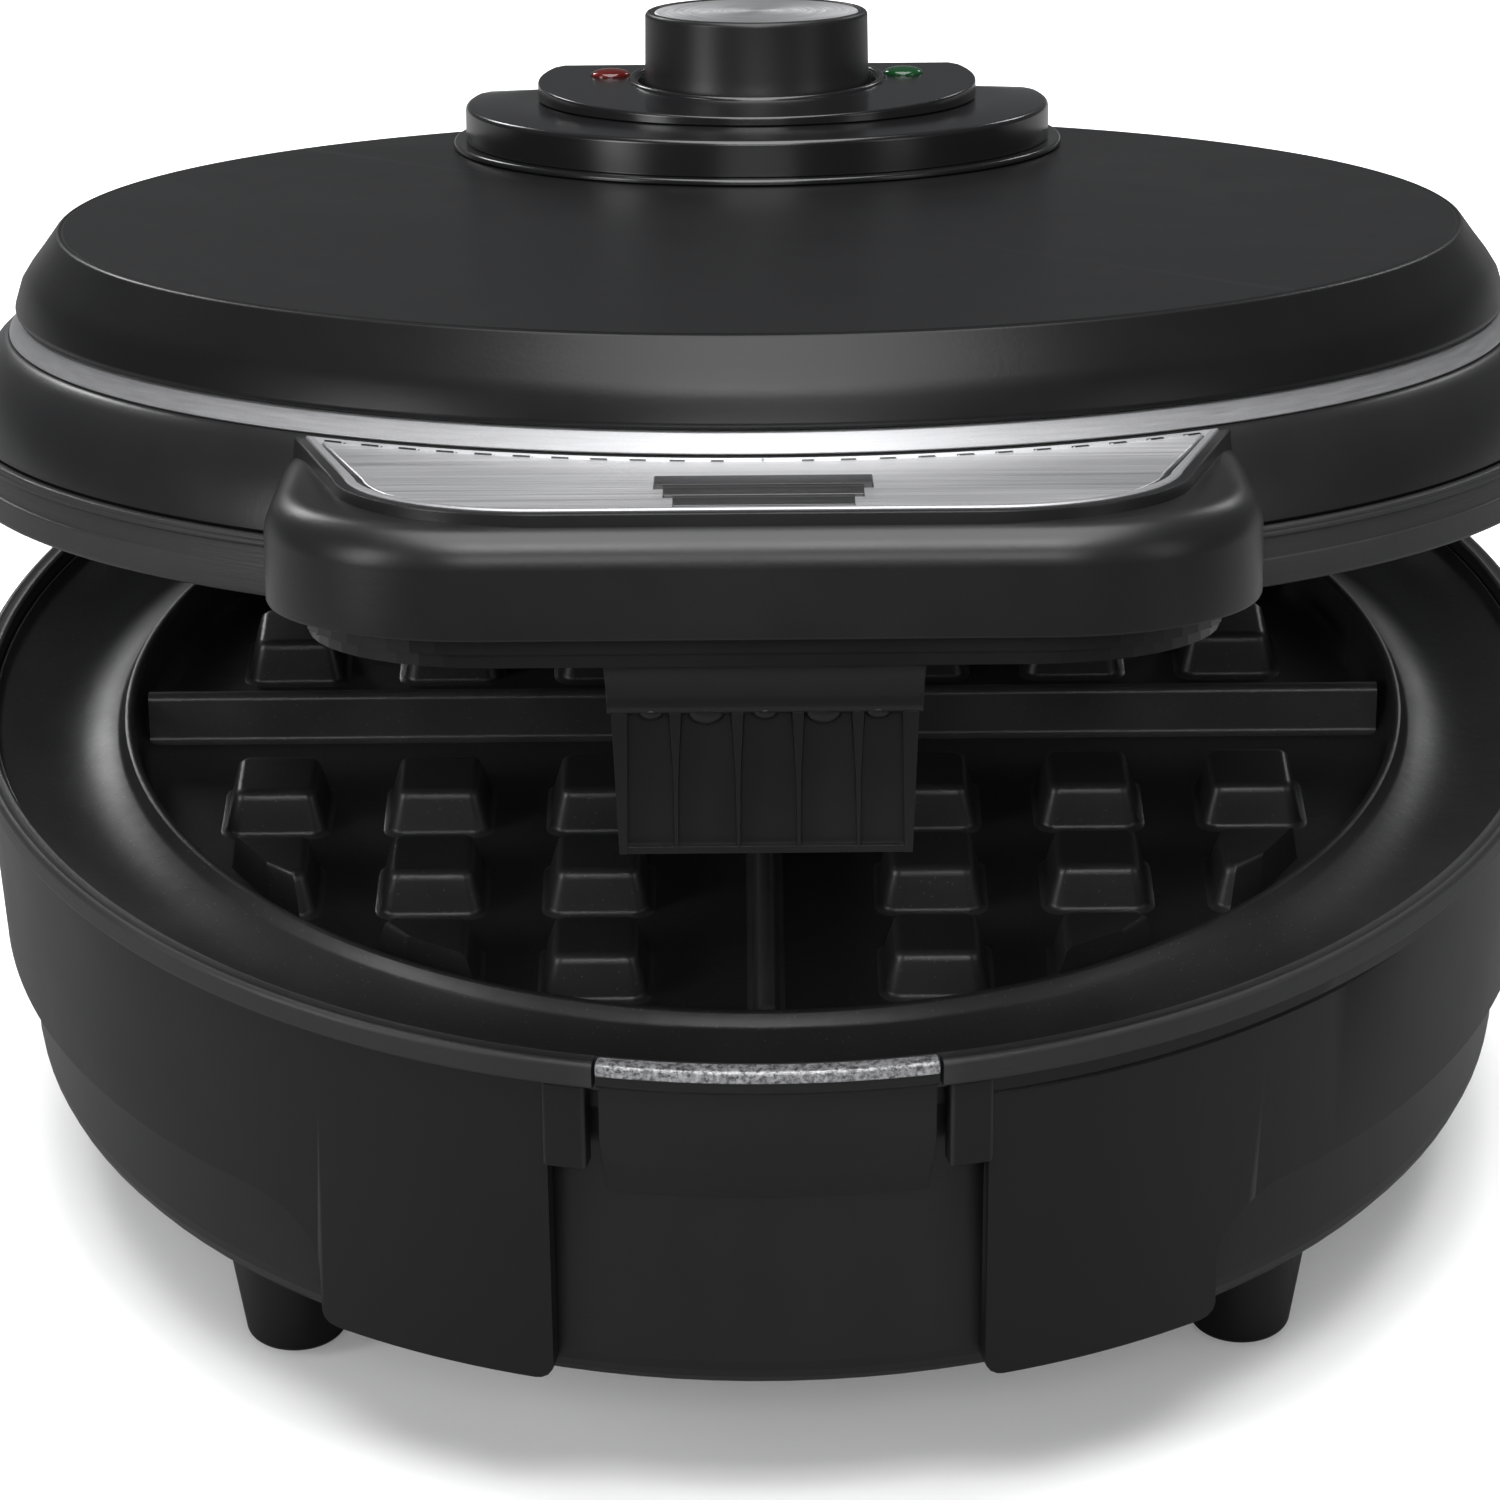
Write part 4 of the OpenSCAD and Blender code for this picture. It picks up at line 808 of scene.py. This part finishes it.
def make_gland():
    """The cord's gland: a collar with a soft edge and a neck that narrows towards its end."""
    low, high = base_box("cord_gland")
    middle = (low.z + high.z) / 2
    flange = (high.z - low.z) / 2
    face = SKIRT_R + 0.65 + 1.2
    profile = [(3.6, low.y), (7.6, low.y), (7.6, BOWL_R - SHELL_WALL - 0.4), (6.0, BOWL_R - SHELL_WALL - 0.4)]
    profile += [(6.0, face - 1.2), (flange, face - 1.2)] + arc(flange - 0.6, face - 0.4, 0.6, 0, 90, 4)
    profile += [(6.4, face + 0.2), (5.6, high.y - 0.6), (5.2, high.y), (4.0, high.y), (3.6, high.y - 0.4)]
    made = turned(profile, steps=96)
    made.transform(Matrix.Translation((0, 0, middle)) @ Matrix.Rotation(-math.pi / 2, 4, "X"))
    return piece("cord_gland_collar", "base", made, "rubber", ["cord_gland"], sharp=40)


# ---------------------------------------------------------------- lid

def make_lid_top():
    """The flat top with a fine edge, and the shoulder that rolls down to the trim."""
    wall = SHELL_WALL
    profile = [(0, LID_TOP), (TOP_R - 1.4, LID_TOP), (TOP_R - 1.15, LID_TOP - 0.12), (TOP_R - 0.95, LID_TOP - 0.12)]
    profile += arc(TOP_R - 0.8, LID_TOP - 0.85, 0.8, 88, 36, 5)
    profile += [(TOP_R + 1.9, LID_TOP - 3.2), (TOP_R + 3.6, LID_TOP - 5.4), (TOP_R + 4.8, LID_TOP - 7.3)]
    profile += arc(SHOULDER_R - 0.75, TRIM_TOP + 0.85, 0.75, 22, -90, 5)
    profile += [(SHOULDER_R - wall - 0.6, TRIM_TOP + 0.1), (TOP_R - wall, LID_TOP - 4)]
    profile += [(TOP_R - 4, LID_TOP - wall), (0, LID_TOP - wall)]
    made = turned(profile, steps=320)
    return piece("lid_top_shell", "lid", made, "black_shell", ["lid_housing"], "lid_top", sharp=34)


def make_lid_trim():
    outer_low = TRIM_HIGH.x
    outer_high = outer_low - 1.5
    profile = [(outer_low - 3.4, TRIM_FOOT), (outer_low - 0.25, TRIM_FOOT, 0.2), (outer_low, TRIM_FOOT + 0.2, 0.2)]
    profile += [(outer_high + 0.1, TRIM_TOP - 0.25, 0.25), (outer_high - 0.35, TRIM_TOP, 0.2), (outer_low - 3.4, TRIM_TOP)]
    made = turned([tuple(p) for p in rounded(profile, 3)], steps=320)
    return piece("lid_trim_ring", "lid", made, "silver_trim", ["lid_trim_band"], sharp=40)


def make_lid_band():
    """The black band between the rim and the trim, gently crowned."""
    low = BAND_HIGH.x
    profile = [(low - 2.2, BAND_FOOT), (low - 0.5, BAND_FOOT), (low, BAND_FOOT + 0.5)]
    crown = [(111.8, 86.3), (111.1, 88.8), (110.25, 90.9), (109.1, 92.9), (107.75, 94.7), (106.7, 95.7)]
    top_r, top = BAND_CURVE[-1]
    profile += crown + [(top_r, top - 0.2), (top_r - 0.3, top), (top_r - 3.6, top), (top_r - 3.6, top - 1.6)]
    profile += [(107, 92.4), (109.1, 89)]
    made = turned(profile, steps=320)
    return piece("lid_band_shell", "lid", made, "black_shell", ["lid_band"], sharp=40)


def make_lid_rim():
    """The lid's lower ring, with the double bead where it meets the band."""
    r = LID_RIM_R
    bead = BAND_FOOT
    flange = BAND_HIGH.x - SHELL_WALL - 0.5
    profile = [(r - 3.6, LID_FOOT + 0.4), (r - 3.2, LID_FOOT)] + arc(r - 0.8, LID_FOOT + 0.8, 0.8, -90, -5, 5)
    crease = LID_FOOT + 3.7
    profile += [(r, crease - 0.15), (r - 0.15, crease), (r - 0.4, crease + 0.1), (r - 0.45, crease + 0.4)]
    profile += [(r - 0.6, bead - 1.5)] + arc(r - 0.7, bead - 1.05, 0.42, -60, 60, 6)
    profile += arc(r - 0.85, bead - 0.45, 0.42, -30, 90, 6)
    profile += [(flange, bead - 0.1), (flange, bead + 1.6), (flange - 1.7, bead + 1.6), (flange - 1.7, bead - 0.9)]
    profile += [(r - 3.6, bead - 0.9)]
    made = turned(profile, steps=320)
    return piece("lid_rim_ring", "lid", made, "rim_plastic", ["lid_rim"], sharp=46)


def make_upper_plate():
    """The upper plate: its face, peg grid and turned-up edge."""
    floor = LIP_TOP + 0.8 + BAKE_DEPTH
    top = floor + 4.5
    lip = LIP_TOP + 0.8
    profile = [(0, top), (90, top), (94, 77.6), (96, 76.8), (104.5, 80.8)]
    profile += [(108.2, 82.5), (108.4, 82.0), (108.4, 79.8)]
    profile += [(108.0, 79.2), (105, 77.5), (96.2, 73.4)] + arc(91.6, lip + 0.9, 0.9, -60, -180, 8)
    profile += [(BAKE_R + 1.3, floor - 2.2)] + arc(BAKE_R - 0.9, floor - 2.0, 2.0, 10, 90, 6) + [(0, floor)]
    made = turned(profile, steps=288)
    add_grid(made, floor + 0.02, floor - BAKE_DEPTH + 1.5)
    return piece("baking_plate_upper", "lid", made, "non_stick", ["upper_plate"], sharp=38)


# ---------------------------------------------------------------- dial

def cut_disc(radius, back, corner, steps=72):
    """A disc with its back cut straight and rounded corners there."""
    half_turn = math.degrees(math.asin((back - DIAL_Y) / radius))
    round_front = arc(0, DIAL_Y, radius, 180 - half_turn, 360 + half_turn, steps)
    points = [Vector(point) for point in round_front]
    for end in (0, -1):
        point = points[end]
        inward = -1 if point.x > 0 else 1
        points[end] = point + Vector((inward * corner * 0.35, 0))
    flat = [(points[-1].lerp(points[0], share).x, back) for share in (0.0, 0.25, 0.5, 0.75, 1.0)]
    return [tuple(p) for p in points] + flat[1:-1]


def edge_levels(radius, back, foot, top, soft):
    """Levels of a D-shaped step whose top edge is rounded."""
    levels = [(radius - 0.25, back - 0.25, foot), (radius, back, foot + 0.25)]
    levels += [
        (radius - soft * (1 - math.cos(math.radians(a))), back - soft * (1 - math.cos(math.radians(a))),
         top - soft + soft * math.sin(math.radians(a))) for a in (0, 22, 45, 67, 90)
    ]
    return levels


def make_dial_base():
    """The dial's D-shaped tiers: flange, bezel and a plate that slopes towards the front."""
    foot = BEZEL_LOW.z
    high = BEZEL_HIGH.z
    made = loft([level(cut_disc(r, b, 2.0), z) for r, b, z in edge_levels(46.5, DIAL_BACK, foot, foot + 1.0, 0.45)])
    body = edge_levels(44.6, DIAL_BACK - 0.9, foot + 0.9, high - 0.5, 0.8)
    body += [(40, DIAL_BACK - 2.6, high - 0.25), (36, DIAL_BACK - 3.6, high)]
    add_loft(made, [level(cut_disc(r, b, 2.0), z) for r, b, z in body])
    piece("dial_bezel_shell", "lid", made, "gloss_black", ["dial_bezel"], sharp=40)
    foot = TIER_LOW.z
    seat = KNOB_LOW.z - 0.4
    back = TIER_HIGH.y
    made = loft([level(cut_disc(r, b, 2.0), z) for r, b, z in ((33.3, back - 0.2, foot), (33.5, back, foot + 0.2),
                                                               (33.5, back, seat))])
    rings = [level(seat_outline(33.5, back, KNOB_R + 0.8), seat - 0.02)]
    for turn in (0, 22, 45, 67, 90):
        inset = PLATE_SOFT * (1 - math.cos(math.radians(turn)))
        drop = PLATE_SOFT * (1 - math.sin(math.radians(turn)))
        outline = seat_outline(33.5 - inset, back - inset, KNOB_R + 0.8 + inset / 3)
        rings.append([(x, y, plate_top_at(y) - drop) for x, y in outline])
    add_loft(made, rings)
    piece("dial_plate_tier", "lid", made, "gloss_black", ["dial_plate"], sharp=40)


def plate_top_at(y):
    """Height of the dial plate's top, which slopes down towards the front."""
    return LID_TOP + 10 + (y - DIAL_Y - 4) * math.tan(math.radians(PLATE_SLOPE))


def seat_outline(radius, back, seat_r):
    """The cut disc less the knob's round seat, which is open at the back."""
    whole = cut_disc(radius, back, 2.0)
    front = [point for point in whole if abs(point[1] - back) > 0.01 or abs(point[0]) > seat_r]
    turn = math.degrees(math.asin((back - DIAL_Y) / seat_r))
    return front + arc(0, DIAL_Y, seat_r, turn, -180 - turn, 60)


def make_dial_ring():
    """The soft collar round the knob's foot."""
    turn = math.degrees(math.asin((TIER_HIGH.y - DIAL_Y) / (KNOB_R + 2.0))) + 2
    made = turned(arc(KNOB_R + 1.7, 0, 0.6, -20, 200, 10), steps=140, start=180 - turn, sweep=180 + 2 * turn)
    for vertex in made.verts:
        vertex.co.y += DIAL_Y
        vertex.co.z += plate_top_at(vertex.co.y) - 0.1
    return piece("dial_collar", "lid", made, "gloss_black", [], sharp=60)


def make_knob():
    """The knob: a slightly flared barrel with a lip round a sunk metal cap."""
    foot = KNOB_LOW.z
    top = KNOB_HIGH.z
    r = KNOB_R
    profile = [(0, foot), (r - 0.4, foot), (r, foot + 0.4), (r - 0.05, foot + 1.4), (r - 0.32, foot + 3.2)]
    profile += [(r - 0.4, top - 1.6)] + arc(r - 1.15, top - 0.75, 0.75, 0, 90, 6)
    profile += arc(r - 1.35, top - 0.35, 0.35, 90, 180, 3) + [(r - 1.7, top - 0.95), (0, top - 0.95)]
    made = turned(profile, steps=160, centre=(0, DIAL_Y))
    return piece("knob_barrel", "dial", made, "black_shell", ["dial_knob"], sharp=40)


def make_cap():
    low, high = shut_box("dial_cap")
    r = high.x - 0.35
    profile = [(0, low.z), (r, low.z)] + arc(r - 0.3, high.z - 0.3, 0.3, 0, 90, 4)
    profile += [(r - 0.7, high.z - 0.05), (r * 0.5, high.z + 0.02), (0, high.z + 0.05)]
    made = turned(profile, steps=160, centre=(0, DIAL_Y))
    return piece("knob_cap", "dial", made, "polished_metal", ["dial_cap"], sharp=50)


def make_lens(node, slot):
    low, high = shut_box(node)
    middle = (low + high) / 2
    r = (high.x - low.x) / 2
    edge = high.z - 1.0
    profile = [(0, low.z), (r, low.z), (r, edge)]
    turns = [math.radians(angle) for angle in range(15, 91, 15)]
    profile += [(r * math.cos(turn), edge + 1.0 * math.sin(turn)) for turn in turns]
    made = turned(profile, steps=64, centre=(middle.x, middle.y))
    return piece(node + "_dome", "lid", made, slot, [node], sharp=60)


# ---------------------------------------------------------------- handle

def lid_r_at(z):
    """The lid's outside radius at a height, which the handle fits against."""
    steps = [(LID_RIM_R + 0.3, 0), (LID_RIM_R + 0.3, BAND_CURVE[0][1])] + BAND_CURVE + [(BAND_CURVE[-1][0], 120)]
    for (r0, z0), (r1, z1) in zip(steps, steps[1:]):
        if z <= z1:
            return r0 + (r1 - r0) * (z - z0) / max(z1 - z0, 0.01) + 0.15
    return steps[-1][0]


def handle_ring(inset, z, back=None):
    """The handle's outline at one height; its back follows the lid, or a straight line."""
    half = HANDLE_HALF - inset
    radius = HANDLE_CORNER - inset
    front = -(HANDLE_REACH - inset)
    sides = arc(-half + radius, front + radius, radius, 180, 270, 20)
    sides += arc(half - radius, front + radius, radius, 270, 360, 20)
    start = -math.sqrt(lid_r_at(z) ** 2 - half ** 2)
    right = [(half, front + radius + (start - front - radius) * share) for share in (0.33, 0.66, 1.0)]
    left = [(-x, y) for x, y in reversed(right)]
    rear = [half - 2 * half * i / 24 for i in range(1, 24)]
    points = sides + right
    points += [(x, -math.sqrt(lid_r_at(z) ** 2 - x * x)) for x in rear] + left
    if back is not None:
        points = [(x, min(y, back)) for x, y in points]
    return level(points, z)


def make_handle():
    """The handle: a hollow below, softly rounded along its top edge, with a seat for the trim."""
    low = HANDLE_LOW.z
    seat = HANDLE_TRIM_LOW.z
    cavity_back = -(LID_RIM_R + 3.4)
    rings = [handle_ring(3.4, HANDLE_HIGH.z - 5.4, cavity_back), handle_ring(3.4, low, cavity_back)]
    rings += [handle_ring(0.45, low), handle_ring(0.12, low + 0.12), handle_ring(0, low + 0.45)]
    soft_z = 4.9
    soft_in = 4.4
    brow = HANDLE_HIGH.z - 1.3
    rings += [handle_ring(0, BAND_FOOT - 0.1), handle_ring(0, BAND_FOOT + 0.1)]
    rings += [
        handle_ring(soft_in * (1 - math.cos(math.radians(a))), brow - soft_z + soft_z * math.sin(math.radians(a)))
        for a in (0, 12, 24, 36, 48, 60, 70, 80, 90)
    ]
    made = loft(rings)
    return piece("handle_shell", "lid", made, "black_shell", ["handle_body"], sharp=40)


def trim_outline(inset, z):
    """The bright trim's outline, which narrows towards the front; its back follows the lid."""
    front = -(138.5 - inset)
    front_half = 53 - inset
    radius = 26 - inset
    lid_r = lid_r_at(z) + 0.15
    start_x = 59.3 - inset
    start_y = -math.sqrt(lid_r ** 2 - start_x ** 2)
    corners = arc(-front_half + radius, front + radius, radius, 188, 270, 16)
    corners += arc(front_half - radius, front + radius, radius, 270, 352, 16)
    last = Vector(corners[-1])
    right = [tuple(last.lerp(Vector((start_x, start_y)), share)) for share in (0.33, 0.66, 1.0)]
    left = [(-x, y) for x, y in reversed(right)]
    rear = [start_x - 2 * start_x * i / 24 for i in range(1, 24)]
    return level(corners + right + [(x, -math.sqrt(lid_r ** 2 - x * x)) for x in rear] + left, z)


def make_handle_lip():
    """The handle's own black lip, which stands up round the bright frame."""
    foot = HANDLE_HIGH.z - 2.2
    top = HANDLE_TRIM_HIGH.z - 0.1
    outer = LIP_OUT
    rings = [trim_outline(LIP_IN, foot), trim_outline(outer, foot), trim_outline(outer, top - 0.3)]
    rings += [trim_outline(outer + 0.1, top - 0.1), trim_outline(outer + 0.35, top), trim_outline(LIP_IN, top)]
    return piece("handle_lip", "lid", loft(rings + rings[:1]), "black_shell", [], sharp=40)


def make_handle_trim():
    """The bright frame round the brushed plate."""
    foot = HANDLE_TRIM_LOW.z
    top = HANDLE_TRIM_HIGH.z + 0.1
    rings = [trim_outline(FRAME_OUT, foot), trim_outline(FRAME_OUT, top - 0.2), trim_outline(FRAME_OUT + 0.2, top)]
    rings += [trim_outline(FRAME_IN - 0.25, top), trim_outline(FRAME_IN, top - 0.25), trim_outline(FRAME_IN, foot)]
    return piece("handle_trim_frame", "lid", loft(rings), "silver_trim", ["handle_trim"], sharp=40)


def badge_step(step):
    """Half width and front edge of one step of the badge."""
    return 13.4 - 1.2 * step, BADGE_BACK + 5.3 * (step + 1)


def make_insert():
    """The brushed plate in the handle's frame."""
    low = INSERT_LOW.z
    top = INSERT_HIGH.z + 0.15
    rings = [trim_outline(PLATE_IN, low), trim_outline(PLATE_IN, top - 0.2), trim_outline(PLATE_IN + 0.15, top - 0.05)]
    rings += [trim_outline(PLATE_IN + 0.4, top)]
    return piece("handle_plate", "lid", loft(rings), "brushed_plate", ["handle_insert"], sharp=50)


def make_badge():
    """A plain inset in three steps that narrow towards the front."""
    made = bmesh.new()
    low = INSERT_LOW.z
    top = INSERT_HIGH.z + 0.15
    for step in range(3):
        half, front = badge_step(step)
        add_block(made, (-half, -front, low), (half, -BADGE_BACK, top + 0.62 - 0.2 * step))
    return piece("handle_badge_steps", "lid", made, "gloss_black", ["handle_badge"], bevel=0.16, sharp=40)


# ---------------------------------------------------------------- latch

def make_latch():
    """The latch: a grip bar, a thin finned panel below it and lugs up to its pin."""
    back = -116.4
    face = -120.9
    bar_foot = 66.6
    bar_top = 75.6
    foot = LATCH_LOW.z
    made = bmesh.new()
    # the bar narrows a little downwards
    rings = []
    for x_top, x_low in ((-20.1, -19.5), (20.1, 19.5)):
        outline = [(back, bar_foot, x_low), (face + 0.9, bar_foot, x_low), (face + 0.3, bar_foot + 0.35, x_low),
                   (face, bar_foot + 1.1, x_low), (face + 0.25, bar_foot + 2.4, x_low), (face, bar_top - 0.9, x_top),
                   (face + 0.35, bar_top - 0.3, x_top), (face + 1.0, bar_top, x_top), (back, bar_top, x_top)]
        rings.append([(x, y, z) for y, z, x in outline])
    add_loft(made, rings)
    # soft nubs under the bar
    for x, drop, half in ((-14.1, 0.9, 1.7), (-7.3, 1.5, 2.4), (0, 0.9, 1.7), (7.2, 1.5, 2.4), (14.0, 0.9, 1.7)):
        bmesh.ops.create_uvsphere(
            made, u_segments=24, v_segments=14, radius=1.0,
            matrix=Matrix.Translation((x, face + 1.5, bar_foot + 0.25)) @ Matrix.Diagonal((half, 1.35, drop + 0.25, 1)),
        )
    # panel, drafted
    add_loft(made, [
        [(x, back, z), (x, back - 1.9, z)] + [(-x, back - 1.9, z), (-x, back, z)]
        for x, z in ((18.2, foot), (18.7, bar_foot + 0.2))
    ])
    # frame down the sides and along the foot
    for side in (-1, 1):
        rings = []
        for z, outer, inner, front in ((foot, 18.2, 17.2, face + 1.3), (bar_foot + 0.2, 19.0, 17.0, face + 0.5)):
            xs = sorted((side * outer, side * inner))
            rings.append([(xs[0], back - 1, z), (xs[1], back - 1, z), (xs[1], front, z), (xs[0], front, z)])
        add_loft(made, rings)
    add_block(made, (-18.2, face + 1.5, foot), (18.2, back - 1, foot + 0.9))
    # four fins that flare at the top
    for x in (-11.1, -3.4, 4.1, 11.5):
        rings = []
        for z, half, front in ((foot, 0.3, face + 1.5), (bar_foot - 9, 0.42, face + 1.1),
                               (bar_foot - 6.5, 0.55, face + 0.9),
                               (bar_foot + 0.2, 1.05, face + 0.6)):
            tip = half * 0.7
            rings.append([(x - half, back - 1, z), (x + half, back - 1, z), (x + tip, front, z), (x - tip, front, z)])
        add_loft(made, rings)
    # lugs round the pin
    pin = Vector(JOINTS["latch_swing"]["pos_m"])
    pin = (LID.inverted() @ pin) / MM
    for side in (-1, 1):
        x0, x1 = sorted((side * 5.6, side * 16))
        head = arc(pin.y, pin.z, 3.0, 0, 180, 14)
        outline = head + [(pin.y - 3, bar_top - 1.4), (back, bar_top - 1.4)]
        add_bar_x(made, x0, x1, outline)
    hook = [(back - 0.1, SKIRT_TOP - 3.4), (-112.8, SKIRT_TOP - 2.6)]
    hook += [(-112.7, SKIRT_TOP - 0.9), (back - 0.1, SKIRT_TOP - 0.5)]
    add_bar_x(made, -17, 17, hook)
    return piece("latch_body", "latch", made, "black_shell", ["latch"], bevel=0.16, sharp=40, segments=2)


# ---------------------------------------------------------------- stage, light and camera

FLOOR_R = 0.75
# the floor's glow is a painted shadow round the base: dimmest up to the first radius and palest from the second, in
# metres
SHADOW_R = 0.106
SHADOW_END = 0.135
CAMERA_PLACE = Vector((-0.0019, -0.7469, 0.4657))
CAMERA_DOWN = math.radians(28.51)
CAMERA_ROLL = math.radians(0.48)
CAMERA_LENS = 139.6


def make_floor():
    """A pale round table top, which throws little light back onto the object, with a painted shadow round its middle.
    """
    mesh_data = bmesh.new()
    bmesh.ops.create_circle(mesh_data, cap_ends=True, segments=128, radius=FLOOR_R)
    mesh = bpy.data.meshes.new("floor")
    mesh_data.to_mesh(mesh)
    mesh_data.free()
    floor = bpy.data.objects.new("floor", mesh)
    bpy.context.scene.collection.objects.link(floor)
    made, tree, shader = new_material("floor", (0.8, 0.8, 0.8), 0.6, Specular_IOR_Level=0.1)
    soft = noise(tree, place_straight(tree), 3.0, 2.0)
    tree.links.new(ranged(tree, soft, 0.3, 0.7, 0.55, 0.65), shader.inputs["Roughness"])
    shader.inputs["Emission Color"].default_value = (1, 1, 1, 1)
    split = add_node(tree, "ShaderNodeSeparateXYZ")
    tree.links.new(place_round(tree), split.inputs["Vector"])
    # painted shadow: the floor's glow is dimmed towards the middle, where the object stands
    glow_with_painted_shadow = ranged(tree, split.outputs["Y"], SHADOW_R, SHADOW_END, 0.16, 0.62)
    tree.links.new(glow_with_painted_shadow, shader.inputs["Emission Strength"])
    dull = add_node(tree, "ShaderNodeBsdfDiffuse")
    dull.inputs["Color"].default_value = (0.26, 0.26, 0.26, 1)
    path = add_node(tree, "ShaderNodeLightPath")
    choice = add_node(tree, "ShaderNodeMixShader")
    tree.links.new(path.outputs["Is Camera Ray"], choice.inputs["Fac"])
    tree.links.new(dull.outputs["BSDF"], choice.inputs[1])
    tree.links.new(shader.outputs["BSDF"], choice.inputs[2])
    tree.links.new(choice.outputs["Shader"], tree.nodes["Material Output"].inputs["Surface"])
    mesh.materials.append(made)


def area_light(name, place, aim, size, power, size_y=None):
    """A soft oblong light at a place, turned towards its aim; power in watts."""
    lamp = bpy.data.lights.new(name, "AREA")
    lamp.shape = "RECTANGLE"
    lamp.size = size
    lamp.size_y = size_y or size
    lamp.energy = power
    made = bpy.data.objects.new(name, lamp)
    made.location = place
    made.rotation_euler = (Vector(aim) - Vector(place)).to_track_quat("-Z", "Y").to_euler()
    bpy.context.scene.collection.objects.link(made)
    return made


def make_world():
    """White where the camera sees it; a dim studio in every reflection and for the light it gives."""
    world = bpy.data.worlds.new("studio")
    world.use_nodes = True
    bpy.context.scene.world = world
    tree = world.node_tree
    dim = tree.nodes["Background"]
    dim.inputs["Color"].default_value = (0.95, 0.97, 1.0, 1)
    dim.inputs["Strength"].default_value = 0.12
    white = add_node(tree, "ShaderNodeBackground", Strength=1.0)
    white.inputs["Color"].default_value = (1, 1, 1, 1)
    path = add_node(tree, "ShaderNodeLightPath")
    choice = add_node(tree, "ShaderNodeMixShader")
    tree.links.new(path.outputs["Is Camera Ray"], choice.inputs["Fac"])
    tree.links.new(dim.outputs["Background"], choice.inputs[1])
    tree.links.new(white.outputs["Background"], choice.inputs[2])
    tree.links.new(choice.outputs["Shader"], tree.nodes["World Output"].inputs["Surface"])


def make_lights():
    """One large light overhead, and small ones that draw the edges from the front, sides and back."""
    make_world()
    area_light("overhead", (0, 0.1, 2.2), (0, 0, 0), 2.0, 76)
    area_light("front_strip", (0.0, -0.55, 1.1), (0, -0.08, 0.1), 0.6, 6, 0.3)
    area_light("front", (0.0, -1.4, 1.0), (0, 0, 0.08), 0.8, 7, 0.4)
    area_light("left", (-0.9, -0.5, 0.45), (0, 0, 0.08), 0.3, 3.5, 0.5)
    area_light("right", (0.9, -0.5, 0.45), (0, 0, 0.08), 0.3, 0.8, 0.5)
    area_light("back_left", (-0.75, 1.35, 0.6), (0, 0, 0.08), 0.35, 4, 0.3)
    area_light("back_right", (0.75, 1.35, 0.6), (0, 0, 0.08), 0.3, 1.5, 0.25)


def make_camera():
    """Looks along +Y and down, level apart from a very small roll, from just under half a metre up."""
    lens = bpy.data.cameras.new("camera")
    lens.sensor_width = 36
    lens.lens = CAMERA_LENS
    lens.clip_end = 50
    made = bpy.data.objects.new("camera", lens)
    made.matrix_world = (
        Matrix.Translation(CAMERA_PLACE)
        @ Matrix.Rotation(math.pi / 2 - CAMERA_DOWN, 4, "X")
        @ Matrix.Rotation(-CAMERA_ROLL, 4, "Z")
    )
    bpy.context.scene.collection.objects.link(made)
    bpy.context.scene.camera = made


dress_cad_nodes()

make_skirt()
make_pads()
make_rim()
make_strike()
make_keeper()
make_lower_plate()
make_gland()
for corner_name in ("front_left", "front_right", "rear_left", "rear_right"):
    make_foot("foot_" + corner_name)

make_lid_top()
make_lid_trim()
make_lid_band()
make_lid_rim()
make_upper_plate()

make_dial_base()
make_dial_ring()
make_knob()
make_cap()
make_lens("lens_power", "red_lens")
make_lens("lens_ready", "green_lens")

make_handle()
make_handle_lip()
make_handle_trim()
make_insert()
make_badge()
make_latch()

make_floor()
make_lights()
make_camera()
bpy.context.scene.view_settings.view_transform = "Standard"
